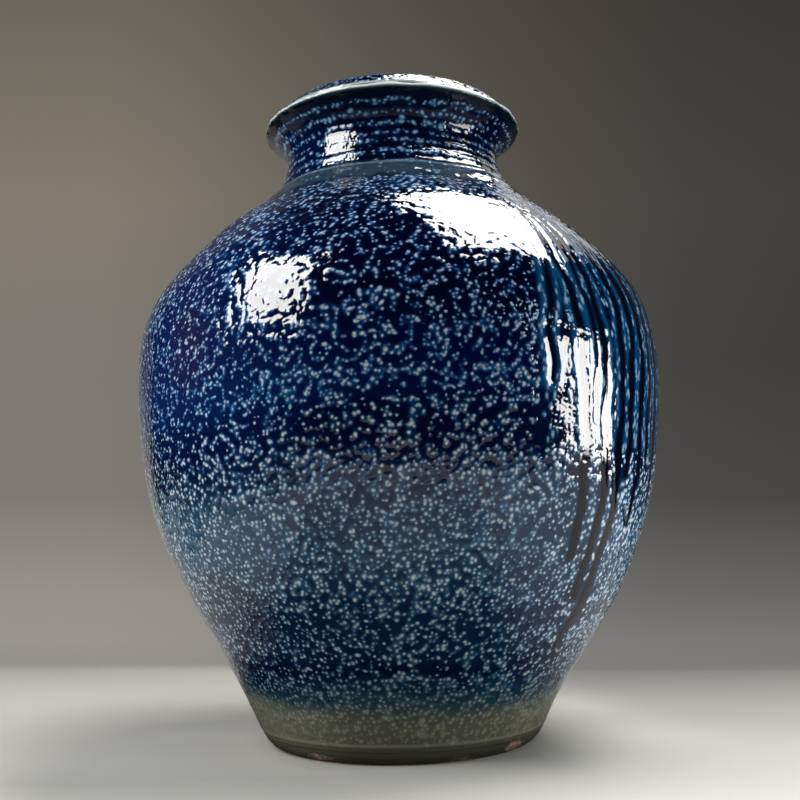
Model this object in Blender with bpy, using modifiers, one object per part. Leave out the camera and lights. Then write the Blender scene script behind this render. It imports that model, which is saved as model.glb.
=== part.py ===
# Salt-glazed stoneware fermentation jar with a water-seal rim.
#
# Four loose pieces of fired clay:
#   jar_body      wheel-thrown jar; its flared rim and inner collar hold the seal water
#   lid           domed cover whose skirt stands in the water channel; four vent notches
#                 let gas bubble out
#   weight_left   half-moon stones on the floor of the jar, left on +Y and right on -Y;
#   weight_right  each goes through the mouth on edge
#
# Units are metres, +Z up.  The origin is the centre of the ring the jar stands on.
# Profile points are (radius, height).
import math

import bmesh
import bpy
from mathutils import Vector

SEGMENTS = 56                # facets round every turned piece
MERGE_DISTANCE = 0.00005     # joins the turned seam and the points on the axis

# ------------------------------------------------------------------ jar, outside
FOOT_R = 0.0755              # outer edge of the standing ring
FOOT_RING_W = 0.0125         # width of the flat standing ring
FOOT_RECESS = 0.0030         # hollow under the jar
FOOT_RECESS_SLOPE = 0.0025   # radial run of the hollow's sloping side
FOOT_BAND_R = 0.0822         # narrow upright band above the foot chamfer
FOOT_BAND_Z = 0.0080
FOOT_BAND_HALF_H = 0.0008
BELLY_R, BELLY_Z = 0.1519, 0.2080
NECK_R, NECK_Z = 0.0642, 0.3430
LIP_R, LIP_Z = 0.0776, 0.3602
LIP_ROUND = 0.0019           # half thickness of the rounded lip
WALL_POINTS = 30             # profile points on the curve through the stations
WALL_STATIONS = (            # (height, radius), from above the foot to below the lip
    (0.0100, 0.0832),
    (0.0370, 0.0965),
    (0.0620, 0.1102),
    (0.0870, 0.1242),
    (0.1120, 0.1363),
    (0.1370, 0.1446),
    (0.1700, 0.1497),
    (BELLY_Z, BELLY_R),
    (0.2360, 0.1476),
    (0.2610, 0.1340),
    (0.2850, 0.1118),
    (0.3040, 0.0888),
    (0.3185, 0.0725),
    (0.3280, 0.0666),
    (0.3355, 0.0646),
    (NECK_Z, NECK_R),
    (0.3485, 0.0662),
    (0.3530, 0.0702),
    (0.3575, 0.0757),
)

# ------------------------------------------------------------------ jar, inside
WALL = 0.0078                # wall of the belly
WALL_FOOT = 0.0100           # wall at the foot
TAPER_Z, TAPER_H = 0.010, 0.110   # start and height of the change between the two
FLOOR_Z = 0.0130             # top of the floor
FLOOR_R = 0.0735             # flat part of the floor
FLOOR_CORNER_H = 0.012       # the inner wall starts above this height over the floor
FLOOR_CORNER_POINTS = 5
SHELF_Z = 0.3375             # underside of the shelf that carries the water channel
SHELF_CORNER_H = 0.006       # the inner wall stops this far below the shelf
CHANNEL_Z = 0.3430           # floor of the water channel
CHANNEL_R = 0.0600           # outer edge of the channel's floor
COLLAR_R = 0.0505            # outside of the inner collar
MOUTH_R = 0.0450             # inside of the inner collar: the clear mouth
COLLAR_TOP = 0.3640
COLLAR_CHAMFER = 0.0015      # at the inner wall's top, the mouth's lower edge, the channel
CHANNEL_FLANK = [(0.0612, 0.3480), (0.0632, 0.3520), (0.0672, 0.3560)]

# ------------------------------------------------------------------ lid
LID_R = 0.0731               # edge of the lid, inside the lip
LID_EDGE_Z = 0.3606          # underside of that edge
LID_SHOULDER_R, LID_SHOULDER_Z = 0.0673, 0.3714
LID_TOP_Z = 0.3785
LID_WALL = 0.0055
LID_CHAMFER = 0.0010         # on the lid's edge and the skirt's lower edges
SKIRT_R_OUT = 0.0580
SKIRT_R_IN = 0.0535
SKIRT_Z = CHANNEL_Z + 0.0003      # just clear of the channel's floor
SKIRT_FILLET = 0.0020        # between the skirt and the lid's edge
KNOB_R = 0.0175
KNOB_ROUND = 0.0012          # inset above and below the knob's widest ring
KNOB_TOP = 0.3935
NOTCH_R = 0.0045             # vent notches in the skirt's lower edge
NOTCH_Z = SKIRT_Z - 0.0004
NOTCH_ANGLES = (15.0, 105.0)      # degrees about Z, one rod each

# ------------------------------------------------------------------ half-moon weights
WEIGHT_R = 0.0720
WEIGHT_T = 0.0180
WEIGHT_SPLIT = 0.0020        # gap between the two straight edges
WEIGHT_HOLE_R = 0.0120       # grip hole, half of it in each stone
WEIGHT_CENTRE = (0.0, 0.0, FLOOR_Z + 0.0004 + WEIGHT_T / 2)   # just clear of the floor
WEIGHT_BEVEL = 0.0022


# ------------------------------------------------------------------ scene and materials
def collection(name):
    """A new collection in the scene."""
    group = bpy.data.collections.new(name)
    bpy.context.scene.collection.children.link(group)
    return group


def material(name, color, roughness):
    mat = bpy.data.materials.new(name)
    mat.use_nodes = True
    shader = mat.node_tree.nodes["Principled BSDF"]
    shader.inputs["Base Color"].default_value = (*color, 1.0)
    shader.inputs["Roughness"].default_value = roughness
    return mat


# ------------------------------------------------------------------ profile helpers
def curve_through(stations, count):
    """Points of the smooth curve through (height, radius) stations, evenly spaced in height.

    Cubic Hermite spans; each slope is taken across the neighbouring stations.
    """
    heights, radii = zip(*stations)
    last = len(stations) - 1
    slopes = []
    for i in range(last + 1):
        below, above = max(i - 1, 0), min(i + 1, last)
        slopes.append((radii[above] - radii[below]) / (heights[above] - heights[below]))
    points = []
    for k in range(count):
        z = heights[0] + (heights[-1] - heights[0]) * k / (count - 1)
        i = max(j for j in range(last) if heights[j] <= z + 1e-12)
        span = heights[i + 1] - heights[i]
        t = (z - heights[i]) / span
        radius = (
            (2 * t**3 - 3 * t**2 + 1) * radii[i]
            + (t**3 - 2 * t**2 + t) * span * slopes[i]
            + (-2 * t**3 + 3 * t**2) * radii[i + 1]
            + (t**3 - t**2) * span * slopes[i + 1]
        )
        points.append((radius, z))
    return points


def arc(centre, radius, start, end, count):
    """Points of a circular arc, angles in degrees from outward towards +Z."""
    points = []
    for k in range(count):
        angle = math.radians(start + (end - start) * k / (count - 1))
        points.append(
            (centre[0] + radius * math.cos(angle), centre[1] + radius * math.sin(angle))
        )
    return points


def wall_thickness(z):
    """Jar wall at height z: thick at the foot, thinning evenly to the belly's."""
    blend = min(max((z - TAPER_Z) / TAPER_H, 0.0), 1.0)
    return WALL_FOOT + (WALL - WALL_FOOT) * blend


def inside_of(outside):
    """The upward-running outside points, moved square to the wall by its thickness."""
    moved = []
    for i, (radius, z) in enumerate(outside):
        before = Vector(outside[max(i - 1, 0)])
        after = Vector(outside[min(i + 1, len(outside) - 1)])
        along = (after - before).normalized()
        wall = wall_thickness(z)
        moved.append((radius - along.y * wall, z + along.x * wall))
    return moved


def turned(name, profile, mat):
    """A solid of revolution about Z: a profile object with a Screw modifier.

    The profile runs from the axis on the upper face, outwards and round, to the axis below.
    """
    mesh = bpy.data.meshes.new(name)
    edges = [(i, i + 1) for i in range(len(profile) - 1)]
    mesh.from_pydata([(radius, 0.0, z) for radius, z in profile], edges, [])
    mesh.materials.append(mat)
    obj = bpy.data.objects.new(name, mesh)
    parts.objects.link(obj)
    screw = obj.modifiers.new("turn", "SCREW")
    screw.axis = "Z"
    screw.angle = math.tau
    screw.steps = SEGMENTS
    screw.render_steps = SEGMENTS
    screw.use_merge_vertices = True
    screw.merge_threshold = MERGE_DISTANCE
    screw.use_smooth_shade = True
    return obj


def cut_cylinder(obj, modifier_name, cutter_name, **cylinder):
    """Cut obj with a hidden cylinder; the remaining arguments place and size it."""
    bpy.ops.mesh.primitive_cylinder_add(**cylinder)
    cutter = bpy.context.object
    cutter.name = cutter_name
    cutter.hide_render = True
    cutter.display_type = "WIRE"
    for group in list(cutter.users_collection):
        group.objects.unlink(cutter)
    cutters.objects.link(cutter)
    cut = obj.modifiers.new(modifier_name, "BOOLEAN")
    cut.operation = "DIFFERENCE"
    cut.solver = "EXACT"
    cut.object = cutter


# ------------------------------------------------------------------ pieces
def make_jar_body(mat):
    outside = curve_through(WALL_STATIONS, WALL_POINTS)
    inside = [
        point
        for point in inside_of(outside)
        if FLOOR_Z + FLOOR_CORNER_H < point[1] < SHELF_Z - SHELF_CORNER_H
    ]
    corner_r, corner_z = inside[0]
    floor_corner = []        # quarter ellipse from the floor's flat up to the inner wall
    for k in range(FLOOR_CORNER_POINTS):
        angle = math.radians(90 * k / FLOOR_CORNER_POINTS)
        floor_corner.append(
            (
                FLOOR_R + (corner_r - FLOOR_R) * math.sin(angle),
                FLOOR_Z + (corner_z - FLOOR_Z) * (1 - math.cos(angle)),
            )
        )
    neck_inside_r = inside[-1][0]
    collar_half = (COLLAR_R - MOUTH_R) / 2
    collar_centre = ((COLLAR_R + MOUTH_R) / 2, COLLAR_TOP - collar_half)

    profile = [
        (0.0, FLOOR_Z),
        *floor_corner,
        *inside,
        # underside of the shelf, in to the mouth
        (neck_inside_r - COLLAR_CHAMFER, SHELF_Z - COLLAR_CHAMFER),
        (neck_inside_r - 0.0060, SHELF_Z),
        (MOUTH_R + COLLAR_CHAMFER, SHELF_Z),
        (MOUTH_R, SHELF_Z + COLLAR_CHAMFER),
        # over the collar and down into the channel
        *arc(collar_centre, collar_half, start=180, end=0, count=7),
        (COLLAR_R, CHANNEL_Z + COLLAR_CHAMFER),
        (COLLAR_R + 0.0008, CHANNEL_Z),
        (CHANNEL_R, CHANNEL_Z),
        (CHANNEL_R + 0.0006, CHANNEL_Z + 0.0006),
        *CHANNEL_FLANK,
        # over the lip and down the outside
        *arc((LIP_R - LIP_ROUND, LIP_Z), LIP_ROUND, start=170, end=-40, count=7),
        *reversed(outside),
        # band, foot chamfer, standing ring and hollow
        (FOOT_BAND_R, FOOT_BAND_Z + FOOT_BAND_HALF_H),
        (FOOT_BAND_R, FOOT_BAND_Z - FOOT_BAND_HALF_H),
        (FOOT_BAND_R - 0.0016, 0.0050),
        (FOOT_R + 0.0022, 0.0016),
        (FOOT_R, 0.0),
        (FOOT_R - FOOT_RING_W, 0.0),
        (FOOT_R - FOOT_RING_W - FOOT_RECESS_SLOPE, FOOT_RECESS),
        (0.0, FOOT_RECESS),
    ]
    turned("jar_body", profile, mat)


def make_lid(mat):
    underside_z = LID_TOP_Z - LID_WALL
    profile = [
        # knob, down to its waist and foot
        (0.0, KNOB_TOP),
        (0.0100, KNOB_TOP - 0.0006),
        (KNOB_R - KNOB_ROUND, LID_TOP_Z + 0.0128),
        (KNOB_R, LID_TOP_Z + 0.0106),
        (KNOB_R - KNOB_ROUND, LID_TOP_Z + 0.0086),
        (0.0120, LID_TOP_Z + 0.0068),
        (0.0108, LID_TOP_Z + 0.0040),
        (0.0125, LID_TOP_Z + 0.0012),
        # dome
        (0.0170, LID_TOP_Z),
        (0.0340, 0.3778),
        (0.0480, 0.3766),
        (0.0600, 0.3746),
        # shoulder and edge
        (LID_SHOULDER_R, LID_SHOULDER_Z),
        (LID_R - 0.0022, LID_SHOULDER_Z - 0.0046),
        (LID_R - 0.0004, LID_EDGE_Z + 0.0028),
        (LID_R, LID_EDGE_Z + LID_CHAMFER),
        (LID_R - LID_CHAMFER, LID_EDGE_Z),
        # skirt
        (SKIRT_R_OUT + SKIRT_FILLET, LID_EDGE_Z),
        (SKIRT_R_OUT, LID_EDGE_Z - SKIRT_FILLET),
        (SKIRT_R_OUT, SKIRT_Z + LID_CHAMFER),
        (SKIRT_R_OUT - LID_CHAMFER, SKIRT_Z),
        (SKIRT_R_IN + LID_CHAMFER, SKIRT_Z),
        (SKIRT_R_IN, SKIRT_Z + LID_CHAMFER),
        # underside of the dome
        (SKIRT_R_IN, underside_z - 0.0075),
        (SKIRT_R_IN - 0.0025, underside_z - 0.0042),
        (0.0440, underside_z - 0.0022),
        (0.0260, underside_z - 0.0006),
        (0.0, underside_z),
    ]
    lid = turned("lid", profile, mat)
    # Two crossing rods cut the four vent notches.
    for number, angle in enumerate(NOTCH_ANGLES, start=1):
        cut_cylinder(
            lid,
            f"notches_{number}",
            f"notch_cutter_{number}",
            vertices=12,
            radius=NOTCH_R,
            depth=2.4 * SKIRT_R_OUT,
            location=(0.0, 0.0, NOTCH_Z),
            rotation=(math.pi / 2, 0.0, math.radians(angle)),
        )


def make_half_moon(name, side, mat):
    """Half a disc with a half-round grip hole in its straight edge; side is +1 or -1 along Y."""
    mesh = bpy.data.meshes.new(name)
    bm = bmesh.new()
    bmesh.ops.create_cone(
        bm,
        cap_ends=True,
        cap_tris=False,
        segments=48,
        radius1=WEIGHT_R,
        radius2=WEIGHT_R,
        depth=WEIGHT_T,
    )
    bmesh.ops.bisect_plane(
        bm,
        geom=bm.verts[:] + bm.edges[:] + bm.faces[:],
        plane_co=(0.0, side * WEIGHT_SPLIT / 2, 0.0),
        plane_no=(0.0, -side, 0.0),
        clear_outer=True,
    )
    bmesh.ops.holes_fill(bm, edges=[edge for edge in bm.edges if edge.is_boundary])
    bmesh.ops.recalc_face_normals(bm, faces=bm.faces)
    bm.to_mesh(mesh)
    bm.free()
    mesh.materials.append(mat)
    mesh.shade_smooth()
    mesh.set_sharp_from_angle(angle=math.radians(35.0))
    obj = bpy.data.objects.new(name, mesh)
    parts.objects.link(obj)
    obj.location = WEIGHT_CENTRE

    cut_cylinder(
        obj,
        "grip_hole",
        f"grip_cutter_{name}",
        vertices=24,
        radius=WEIGHT_HOLE_R,
        depth=3 * WEIGHT_T,
        location=WEIGHT_CENTRE,
    )
    bevel = obj.modifiers.new("soft_edges", "BEVEL")
    bevel.width = WEIGHT_BEVEL
    bevel.segments = 2
    bevel.limit_method = "ANGLE"
    bevel.angle_limit = math.radians(40.0)


# ------------------------------------------------------------------ build
for old in list(bpy.data.objects):
    bpy.data.objects.remove(old, do_unlink=True)
parts = collection("fermentation_jar")
cutters = collection("cutters")

cobalt = material("cobalt_salt_glaze", color=(0.012, 0.050, 0.170), roughness=0.12)
cobalt_lid = material("cobalt_salt_glaze_lid", color=(0.014, 0.055, 0.175), roughness=0.12)
stone = material("bare_stoneware", color=(0.42, 0.36, 0.28), roughness=0.75)
stone_second = material("bare_stoneware_second", color=(0.40, 0.35, 0.27), roughness=0.75)

make_jar_body(cobalt)
make_lid(cobalt_lid)
make_half_moon("weight_left", +1, stone)
make_half_moon("weight_right", -1, stone_second)
bpy.context.view_layer.update()
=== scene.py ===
# Salt-glazed fermentation jar with its lid and two half-moon weights, in a small studio.
# The scene is in metres, +Z up, with the jar's axis on Z and its foot on z = 0; the pieces are
# worked out in mm.  Angles round the jar are 0 at the front (-Y) and grow towards +X.
import math
from types import SimpleNamespace

import bmesh
import bpy
import numpy as np
from mathutils import Matrix, Vector


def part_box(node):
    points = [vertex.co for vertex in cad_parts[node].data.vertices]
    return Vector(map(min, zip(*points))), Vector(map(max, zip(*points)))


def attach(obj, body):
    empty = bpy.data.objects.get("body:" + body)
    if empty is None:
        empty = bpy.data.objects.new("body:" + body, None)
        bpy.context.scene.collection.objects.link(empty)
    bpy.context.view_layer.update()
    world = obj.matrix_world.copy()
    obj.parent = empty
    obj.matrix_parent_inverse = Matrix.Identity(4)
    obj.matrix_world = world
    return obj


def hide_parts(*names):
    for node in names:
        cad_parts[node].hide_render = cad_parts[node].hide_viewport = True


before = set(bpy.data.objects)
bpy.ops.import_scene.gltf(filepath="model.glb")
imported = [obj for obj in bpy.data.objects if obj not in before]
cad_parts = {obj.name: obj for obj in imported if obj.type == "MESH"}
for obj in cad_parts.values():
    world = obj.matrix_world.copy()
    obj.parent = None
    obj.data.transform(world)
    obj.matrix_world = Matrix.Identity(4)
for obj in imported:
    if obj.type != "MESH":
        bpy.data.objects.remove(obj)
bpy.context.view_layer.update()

MM = 0.001
TAU = 2 * math.pi

# ------------------------------------------------------------------ jar sizes, mm
JAR_COLUMNS = 1568
JAR_ROW_STEP = 0.60

# outside of the wall: (height, radius)
WALL = (
    (10.0, 83.2), (37.0, 96.5), (62.0, 110.2), (87.0, 124.2), (112.0, 136.3), (137.0, 144.6),
    (170.0, 149.7), (208.0, 151.9), (236.0, 147.6), (261.0, 134.0), (285.0, 111.8),
    (304.0, 88.8), (318.5, 72.5), (328.0, 66.6), (335.5, 64.6), (343.0, 64.2), (348.5, 66.2),
    (353.0, 70.2), (357.5, 75.7),
)
FOOT_WALL = 10.0                # wall thickness at the foot
UPPER_WALL = 7.8                # and from THIN_RISE above the foot upwards
THIN_RISE = 110.0
FLOOR_TOP = 13.0                # the floor inside, its radius, and where its corner begins
FLOOR_RADIUS = 73.5
CORNER_TOP = 27.0

# turned profiles: (radius, height)
UNDERSIDE = ((2.0, 3.0), (59.0, 3.0), (60.4, 2.7), (61.6, 1.8), (62.6, 0.5), (63.4, 0.0))
FOOT = (
    (63.4, 0.0), (74.7, 0.0), (75.6, 0.35), (77.7, 1.7), (79.6, 3.6), (80.8, 5.4), (81.5, 6.6),
    (82.4, 7.4), (82.6, 8.2), (82.5, 8.9), (83.2, 10.0),
)
CHANNEL = (                     # from the lip down into the seal channel and up its inner wall
    (73.82, 360.5), (73.0, 359.6), (70.4, 357.9), (67.2, 356.0), (64.9, 354.0), (63.2, 352.0),
    (62.0, 350.1), (61.2, 348.0), (60.8, 344.8), (60.6, 343.6), (60.0, 343.0), (52.4, 343.0),
    (51.0, 343.5), (50.5, 344.8), (50.5, 361.2),
)
COLLAR_INSIDE = (
    (45.0, 361.0), (45.0, 339.6), (45.5, 338.2), (46.8, 337.5), (49.0, 337.4), (52.0, 336.2),
)

RING_CRESTS = (303.5, 311.0, 317.7, 325.8, 333.1, 337.8, 343.9, 349.7, 354.3, 361.0)

# glaze runs: (angle at top, angle at bottom, top z, bottom z, half width at top, at bottom)
RUNS = (
    (30.3, 28.6, 262.0, 186.0, 1.5, 1.9),
    (34.6, 37.9, 283.0, 100.0, 1.9, 2.9),
    (38.6, 39.8, 272.0, 168.0, 1.3, 1.5),
    (41.2, 44.0, 286.0, 81.0, 2.2, 3.1),
    (48.4, 48.2, 281.0, 73.0, 2.4, 3.2),
    (53.0, 52.0, 277.0, 141.0, 2.1, 1.8),
    (57.6, 57.1, 284.0, 117.0, 2.3, 2.0),
    (63.0, 61.8, 272.0, 150.0, 2.2, 1.7),
    (68.4, 68.0, 280.0, 128.0, 2.3, 2.1),
    (74.5, 75.0, 268.0, 161.0, 1.9, 1.6),
    (81.0, 80.2, 274.0, 143.0, 2.2, 1.9),
    (88.0, 88.8, 258.0, 176.0, 1.8, 1.5),
    (-171.0, -170.0, 276.0, 148.0, 2.0, 1.9),
    (-164.5, -164.0, 282.0, 112.0, 2.3, 2.1),
    (-158.0, -158.6, 270.0, 163.0, 1.8, 1.7),
    (171.0, 171.8, 262.0, 181.0, 1.7, 1.6),
)
SLIM_RUNS = 5                   # the first runs are slimmer high up
# sheets behind the runs: angles where one side starts and is full, where the other ends and
# is full, and the top z
SHEETS = ((23.5, 33.5, 98.0, 78.0, 246.0), (-179.0, -166.0, -148.0, -158.0, 262.0))

# level lines the beads gather on: (z, strength)
BEAD_LINES = (
    (190.5, 0.8), (184.0, 0.6), (177.0, 0.9), (166.5, 0.6), (151.0, 0.5), (212.0, 0.35),
    (73.5, 0.5), (51.0, 0.6), (98.0, 0.4), (120.0, 0.3),
)
# bands with fewer beads: (share lost, waviness, z, half width)
SPARSE_BANDS = (
    (0.55, 1.5, 73.5, 2.2), (0.55, 1.8, 51.2, 2.6), (0.30, 2.5, 162.0, 9.0),
    (0.18, 0.0, 174.5, 3.0), (0.80, 0.0, 311.5, 5.0),
)
# level ridges and grooves at the neck and foot: (height, z, half width)
LEDGES = (
    (0.40, 317.8, 1.3), (-0.22, 321.0, 1.6), (0.85, 331.0, 7.0), (-0.70, 349.5, 6.0),
    (0.55, 314.0, 4.0), (-0.55, 305.0, 5.0), (0.30, 10.4, 1.3), (-0.25, 7.6, 1.6),
)
# bare scars round the foot, from the kiln wads: (angle, half length in degrees, z)
SCARS = (
    (-35.0, 7.0, 2.6), (20.5, 3.6, 0.8), (47.5, 5.5, 3.8), (112.0, 6.0, 2.2),
    (-128.0, 7.0, 2.8), (176.0, 5.5, 2.0),
)

# ------------------------------------------------------------------ lid sizes, mm
LID_COLUMNS = 1040
LID_ROW_STEP = 0.50
SKIRT_LOW = 343.3               # lower edge of the skirt
SKIRT_OUTER = 58.0
NOTCH_ANGLES = (15.0, 105.0, -165.0, -75.0)
NOTCH_RADIUS = 4.5
NOTCH_CENTRE_Z = 342.9
NOTCH_AT_RADIUS = 55.8          # where the notch is measured round the skirt
NOTCH_FADE_TOP = 353.0          # the skirt keeps its rows above this

# turned profiles: (radius, height)
LID_UNDERSIDE = (
    (2.0, 373.0), (26.0, 372.4), (44.0, 370.8), (49.0, 369.9), (51.6, 368.4), (53.1, 366.2),
    (53.5, 363.5), (53.5, 344.6), (54.0, 343.5), (55.0, SKIRT_LOW),
)
LID_SKIRT = (
    (55.0, SKIRT_LOW), (56.6, SKIRT_LOW), (57.6, 343.7), (SKIRT_OUTER, 344.8),
    (SKIRT_OUTER, 358.6), (58.6, 360.6), (60.2, 361.4), (62.0, 361.6), (71.2, 361.6),
)
LID_DOME = (
    (73.0, 363.9), (72.5, 364.8), (71.2, 366.2), (69.3, 368.3), (67.5, 370.2), (66.1, 371.2),
    (64.0, 372.3), (60.0, 373.9), (54.0, 375.4), (48.0, 376.5), (40.0, 377.5), (32.0, 378.1),
    (24.0, 378.4),
)
LID_KNOB = (
    (17.6, 378.8), (14.6, 379.4), (12.4, 380.4), (11.2, 381.9), (10.8, 383.4), (11.3, 384.9),
    (12.9, 386.0), (15.4, 386.9), (16.9, 387.9), (17.5, 389.2), (17.1, 390.6), (15.8, 391.7),
    (13.4, 392.5), (9.0, 393.1), (2.0, 393.5),
)

# ------------------------------------------------------------------ weight sizes, mm
WEIGHT_HOLE_RADIUS = 12.1
WEIGHT_TRIM = 0.1               # the stone is this much smaller in radius than its CAD piece
WEIGHT_VOXEL = 1.15


# ------------------------------------------------------------------ curves and noise
def smooth(start, end, value):
    """Smooth step from 0 at start to 1 at end."""
    t = np.clip((np.asarray(value, float) - start) / (end - start), 0.0, 1.0)
    return t * t * (3 - 2 * t)


def bell(value, centre, width):
    """Bell of half width `width` about the centre."""
    return np.exp(-(((value - centre) / width) ** 2))


def angle_from(degrees, centre):
    """Signed angle from the centre, -180 to 180."""
    return (degrees - centre + 180) % 360 - 180


def outline(z):
    """Radius of the smooth wall at height z, a cubic through WALL."""
    heights, radii = np.array(WALL).T
    last = len(heights) - 1
    knot = np.arange(last + 1)
    after, before = np.minimum(knot + 1, last), np.maximum(knot - 1, 0)
    slope = (radii[after] - radii[before]) / (heights[after] - heights[before])
    z = np.asarray(z, float)
    i = np.clip(np.searchsorted(heights, z, side="right") - 1, 0, last - 1)
    rise = heights[i + 1] - heights[i]
    t = (z - heights[i]) / rise
    return (
        (2 * t**3 - 3 * t**2 + 1) * radii[i]
        + (t**3 - 2 * t**2 + t) * rise * slope[i]
        + (-2 * t**3 + 3 * t**2) * radii[i + 1]
        + (t**3 - t**2) * rise * slope[i + 1]
    )


def inside_radius(z):
    """Inside radius at height z, with the wall measured square to its slope."""
    t = np.clip((z - WALL[0][0]) / THIN_RISE, 0, 1)
    thickness = FOOT_WALL + (UPPER_WALL - FOOT_WALL) * t
    slope = outline(z + 0.5) - outline(z - 0.5)
    return outline(z) - thickness * np.sqrt(1 + slope**2)


def noise(points, seed, wavelength, spread, count=70):
    """Band-limited noise of unit variance at points (..., 3): a seeded sum of plane waves."""
    rng = np.random.default_rng(seed)
    waves = rng.normal(size=(count, 3))
    waves /= np.linalg.norm(waves, axis=1)[:, None]
    frequency = TAU / wavelength * (1 + spread * rng.uniform(-1, 1, count))
    waves = waves * frequency[:, None]
    phases = rng.uniform(0, TAU, count)
    flat = points.reshape(-1, 3).astype(np.float32)
    total = np.zeros(len(flat), np.float32)
    for wave, phase in zip(waves.astype(np.float32), phases.astype(np.float32)):
        total += np.cos(flat @ wave + phase)
    return (total * np.float32(math.sqrt(2 / count))).reshape(points.shape[:-1])


# ------------------------------------------------------------------ lathe grids
def resample(profile, step):
    """An (r, z) polyline resampled to an even step along its length."""
    points = np.array(profile, float)
    along = np.r_[0, np.cumsum(np.hypot(*np.diff(points, axis=0).T))]
    count = max(2, int(round(along[-1] / step)) + 1)
    even = np.linspace(0, along[-1], count)
    return np.stack([np.interp(even, along, points[:, k]) for k in (0, 1)], 1)


def arc(centre_r, centre_z, radius, start, end, count):
    """Points of an arc in the (r, z) plane, angles in degrees."""
    a = np.radians(np.linspace(start, end, count))
    return list(zip(centre_r + radius * np.cos(a), centre_z + radius * np.sin(a)))


def turn_profile(profile, columns):
    """XYZ in mm of every grid point, and the column angles; column 0 is at the back (+Y)."""
    angle = -math.pi + TAU * np.arange(columns) / columns
    r, z = profile[:, 0][:, None], profile[:, 1][:, None]
    return np.stack([r * np.sin(angle), -r * np.cos(angle), z + 0 * angle], -1), angle


def axis_distance(grid):
    return np.hypot(grid[..., 0], grid[..., 1])


def profile_normals(profile):
    """Outward (r, z) normals of a profile that runs upwards on the outside."""
    tangent = np.gradient(profile, axis=0)
    tangent /= np.maximum(np.linalg.norm(tangent, axis=1)[:, None], 1e-9)
    return np.stack([tangent[:, 1], -tangent[:, 0]], 1)


def set_rows(grid, rows, angle, radius, z):
    """Move the grid's rows to a new radius and height."""
    grid[rows, :, 0] = radius * np.sin(angle)[None, :]
    grid[rows, :, 1] = -radius * np.cos(angle)[None, :]
    grid[rows, :, 2] = z


def lathe_uv(grid):
    """UV of every loop: u goes round the piece, v along the profile."""
    columns = grid.shape[1]
    steps = np.linalg.norm(np.diff(grid[:, 0, :], axis=0), axis=1)
    along = np.r_[0, np.cumsum(steps)]
    v = along / along[-1] * 0.98 + 0.01
    u0 = np.arange(columns) / columns
    u1 = (np.arange(columns) + 1) / columns
    quad_u = np.stack([u0, u1, u1, u0], -1)[None]
    quad_v = np.stack([v[:-1], v[:-1], v[1:], v[1:]], -1)[:, None]
    pieces = [np.stack(np.broadcast_arrays(quad_u, quad_v), -1)]
    for near, far, edge_v, centre_v in ((u1, u0, v[0], 0.0), (u0, u1, v[-1], 1.0)):
        cap_u = np.stack([near, far, (u0 + u1) / 2], 1)
        cap_v = np.array([[edge_v, edge_v, centre_v]])
        pieces.append(np.stack(np.broadcast_arrays(cap_u, cap_v), -1))
    return np.concatenate([piece.reshape(-1, 2) for piece in pieces]).astype(np.float32)


def closed_lathe(name, grid):
    """Mesh object from a (rows, columns, 3) grid in mm, closed by a centre point at each end."""
    rows, columns, _ = grid.shape
    centres = [[0, 0, float(np.mean(grid[end, :, 2]))] for end in (0, -1)]
    points = np.vstack([grid.reshape(-1, 3), np.array(centres)]) * MM
    column = np.arange(columns)
    following = (column + 1) % columns
    row_start = np.arange(rows - 1)[:, None] * columns
    a = (row_start + column).ravel()
    b = (row_start + following).ravel()
    quads = np.stack([a, b, b + columns, a + columns], 1)
    first_centre = rows * columns
    top = (rows - 1) * columns
    triangles = np.vstack([
        np.stack([following, column, np.full(columns, first_centre)], 1),
        np.stack([top + column, top + following, np.full(columns, first_centre + 1)], 1),
    ])

    mesh = bpy.data.meshes.new(name)
    mesh.vertices.add(len(points))
    mesh.vertices.foreach_set("co", points.astype(np.float32).ravel())
    loops = np.concatenate([quads.ravel(), triangles.ravel()]).astype(np.int32)
    mesh.loops.add(len(loops))
    mesh.loops.foreach_set("vertex_index", loops)
    sides = np.repeat([4, 3], [len(quads), len(triangles)]).astype(np.int32)
    mesh.polygons.add(len(sides))
    mesh.polygons.foreach_set("loop_start", (np.cumsum(sides) - sides).astype(np.int32))
    mesh.polygons.foreach_set("loop_total", sides)
    mesh.update(calc_edges=True)
    mesh.shade_smooth()
    mesh.uv_layers.new(name="OFBake").data.foreach_set("uv", lathe_uv(grid).ravel())
    obj = bpy.data.objects.new(name, mesh)
    bpy.context.scene.collection.objects.link(obj)
    return obj


def row_field(grid, *spans):
    """A float for every grid point: zero but for the spans, each (rows, values)."""
    field = np.zeros(grid.shape[:2], np.float32)
    for rows, values in spans:
        field[rows] = values
    return field


def add_attributes(obj, fields, centre_ones=()):
    """A float per vertex for each field; the centre points take 1 for the names listed."""
    for name, values in fields.items():
        fill = 1.0 if name in centre_ones else 0.0
        full = np.full(len(obj.data.vertices), fill, np.float32)
        full[: values.size] = values.ravel()
        obj.data.attributes.new(name, "FLOAT", "POINT").data.foreach_set("value", full)


# ------------------------------------------------------------------ glaze beads
JITTER = 0.33                   # random shift of a bead, as a share of the spacing
BEAD_REACH = 3.2                # mm that a bead spreads at most
BEAD_REACH_COLUMNS = 14         # and the most columns


def nearest(column, row, shape):
    """Grid indices nearest to the beads."""
    rows, columns = shape
    i = np.rint(column).astype(int) % columns
    return i, np.clip(np.rint(row).astype(int), 0, rows - 1)


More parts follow.
